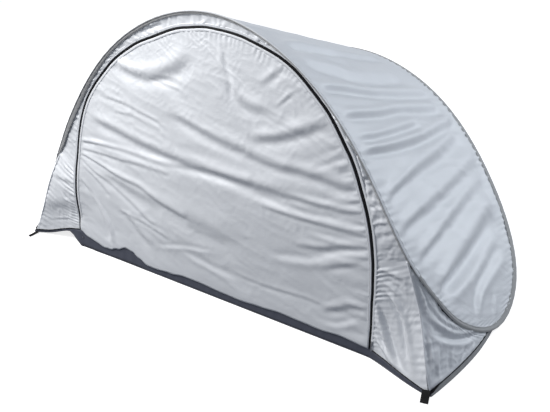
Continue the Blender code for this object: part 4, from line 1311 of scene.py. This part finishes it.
def make_lips():
    base = SHEET + GAP
    for rear, name in ((False, "front"), (True, "rear")):
        corner = (CORNER_REAR if rear else CORNER_FRONT)[0]
        x = np.linspace(-corner, corner, 300)
        top = hem_point(x, 0.0, rear)
        if not rear:
            behind = np.maximum(top[:, 2], hem_line(x) + 0.014)
            top[:, 2] = mix(top[:, 2], behind, smooth(HEM_HALF + 0.005, HEM_HALF - 0.02, np.abs(x)))
        lip_mesh(f"lip_cloth_{name}", top, base, [f"lip_{name}"], bends=not rear)
    start, end = CORNER_FRONT[1] + CLOTH + 3 * GAP, CORNER_REAR[1] - CLOTH - 3 * GAP
    for side, name in ((1, "right"), (-1, "left")):
        top = side_point(np.linspace(start, end, 190), side)
        top[:, 2] += strip_top(top[:, 1])
        lip_mesh(f"lip_cloth_side_{name}", top, base, [f"lip_side_{name}"], material=GREY)


# By default a lip takes the ground cloth's dark colour, which is painted shade.
def lip_mesh(name, top, base, nodes, bends=False, material=FLOOR_PAINTED_SHADE):
    low = top.copy()
    low[:, 2] = base + corner_rise(top[:, 0], top[:, 1])
    share = np.linspace(0, 1, 7)[None, :, None]
    grid = mix(low[:, None], top[:, None], share)
    along = np.concatenate([[0], np.cumsum(np.linalg.norm(np.diff(top, axis=0), axis=-1))])[:, None]
    wave = 0.0009 * ripple(along + 0 * share[..., 0], 0.05, 95) * np.sin(math.pi * share[..., 0])
    normal = grid_normals(grid, MIDDLE)
    grid = grid + normal * wave[..., None]
    lip = sheet_mesh(name, grid, material, thickness=0.0012)
    if bends:
        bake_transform(lip)
    else:
        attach(lip, "shelter")
    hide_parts(*nodes)


def make_loops():
    """Folded webbing that comes out from under each corner, lies down to the ground and turns back."""
    for rear, end in ((False, "front"), (True, "rear")):
        corner = CORNER_REAR if rear else CORNER_FRONT
        way = 1 if rear else -1
        for side, name in ((1, "right"), (-1, "left")):
            forward = unit(np.array((side * LOOP_SKEW, way, 0.0)))
            across = np.array((forward[1], -forward[0], 0.0))
            straight = HEM_HALF_REAR if rear else HEM_HALF
            start = hem_point(side * (straight + (corner[0] - straight) * LOOP_PLACE), 0, rear)
            start[1] += way * (CLOTH / 2 + 0.002)
            start[2] = 0.0
            width, top = LOOP_BAND[end, name]
            share = np.linspace(0, 1, 14)[:, None]
            drop = mix(top, LOOP_FOLD + 0.001, smooth(0, 1, share)) * np.array((0, 0, 1.0))
            upper = start + forward * (LOOP_LEG + LOOP_RADIUS - LOOP_FOLD) * share + drop
            angle = np.linspace(0, math.pi, 10)[1:, None]
            up = np.array((0, 0, 1.0))
            turn = upper[-1] + LOOP_FOLD / 2 * (forward * np.sin(angle) + up * (np.cos(angle) - 1))
            under = upper[-2::-1] - up * LOOP_FOLD
            line = np.vstack([upper, turn, under])
            line[:, 2] = np.maximum(line[:, 2], 0.0010)
            shift = np.linspace(-0.5, 0.5, 9)[None, :, None] * width
            grid = line[:, None] + across * shift
            loop = sheet_mesh(f"peg_loop_webbing_{end}_{name}", grid, BLACK, thickness=0.0016)
            soft = loop.modifiers.new("edges", "BEVEL")
            soft.width = 0.0004
            soft.segments = 2
            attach(loop, "shelter")
            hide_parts(f"peg_loop_{end}_{name}")


def finish_metal():
    for name in ("zip_slider", "zip_puller", "zip_stop_left", "zip_stop_right"):
        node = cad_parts[name]
        node.data.materials.clear()
        node.data.materials.append(STEEL)
        soft = node.modifiers.new("edges", "BEVEL")
        soft.width = 0.0003
        soft.segments = 2
        soft.limit_method = "ANGLE"


# --- Stage


# The studio's brightness by height: dim below, pale round the horizon, softer above
WORLD_STOPS = (
    (-1.0, (0.10, 0.11, 0.13)),
    (-0.25, (0.14, 0.15, 0.18)),
    (-0.02, (0.38, 0.41, 0.46)),
    (0.15, (0.42, 0.45, 0.50)),
    (0.5, (0.34, 0.36, 0.40)),
    (1.0, (0.20, 0.215, 0.24)),
)


def make_stage():
    mesh = bpy.data.meshes.new("studio_floor")
    reach = 40.0
    mesh.from_pydata([(-reach, -reach, -0.0006), (reach, -reach, -0.0006), (reach, reach, -0.0006), (-reach, reach, -0.0006)],
                     [], [(0, 1, 2, 3)])
    floor = bpy.data.objects.new("studio_floor", mesh)
    bpy.context.scene.collection.objects.link(floor)
    made, nodes, links, shader = shader_nodes("studio_white", (0.55, 0.55, 0.55), 0.9)
    shader.inputs["Emission Color"].default_value = (1, 1, 1, 1)
    shader.inputs["Emission Strength"].default_value = 0.78
    shader.inputs["Specular IOR Level"].default_value = 0.0
    mesh.materials.append(made)
    # The floor only shows: the light from below is the world's, which is dim there
    floor.visible_diffuse = False
    floor.visible_glossy = False
    floor.visible_shadow = False

    world = bpy.data.worlds.new("studio")
    bpy.context.scene.world = world
    world.use_nodes = True
    background = world.node_tree.nodes["Background"]
    place = world.node_tree.nodes.new("ShaderNodeTexCoord")
    split = world.node_tree.nodes.new("ShaderNodeSeparateXYZ")
    world.node_tree.links.new(place.outputs["Generated"], split.inputs[0])
    raise_it = world.node_tree.nodes.new("ShaderNodeMapRange")
    raise_it.inputs["From Min"].default_value = -1.0
    world.node_tree.links.new(split.outputs[2], raise_it.inputs["Value"])
    ramp = world.node_tree.nodes.new("ShaderNodeValToRGB")
    world.node_tree.links.new(raise_it.outputs[0], ramp.inputs[0])
    world.node_tree.links.new(ramp.outputs[0], background.inputs[0])
    stops = ramp.color_ramp.elements
    while len(stops) < len(WORLD_STOPS):
        stops.new(1.0)
    for stop, (height, shade) in zip(stops, WORLD_STOPS):
        stop.position = (height + 1) / 2
        stop.color = (*shade, 1.0)
    background.inputs[1].default_value = 1.0

    for name, place, aim, size, power, colour in (
        ("key_left", (-1.7, -1.9, 2.5), (-0.1, -0.4, 0.7), 1.7, 124.0, (1.0, 0.985, 0.965)),
        ("back_right", (2.5, 2.1, 2.5), (0.4, 0.0, 0.4), 2.0, 78.0, (0.93, 0.97, 1.0)),
    ):
        lamp = bpy.data.lights.new(name, "AREA")
        lamp.shape = "SQUARE"
        lamp.size = size
        lamp.energy = power
        lamp.color = colour
        obj = bpy.data.objects.new(name, lamp)
        bpy.context.scene.collection.objects.link(obj)
        obj.location = place
        aim_at(obj, aim)

    camera = bpy.data.cameras.new("photo_view")
    camera.lens = LENS
    camera.sensor_width = SENSOR
    obj = bpy.data.objects.new("photo_view", camera)
    bpy.context.scene.collection.objects.link(obj)
    obj.location = CAMERA
    aim_at(obj, TARGET)
    bpy.context.scene.camera = obj
    bpy.context.scene.view_settings.view_transform = "Standard"


def aim_at(obj, target):
    from mathutils import Vector
    obj.rotation_euler = (Vector(target) - Vector(obj.location)).to_track_quat("-Z", "Y").to_euler()


make_stage()
make_sleeve()
make_lap()
make_roof()
make_front_arch()
make_front_sides()
make_door()
make_zip()
make_facings()
make_rear_wall()
make_gussets()
make_seams()
make_ground()
make_lips()
make_loops()
finish_metal()

bpy.context.view_layer.update()
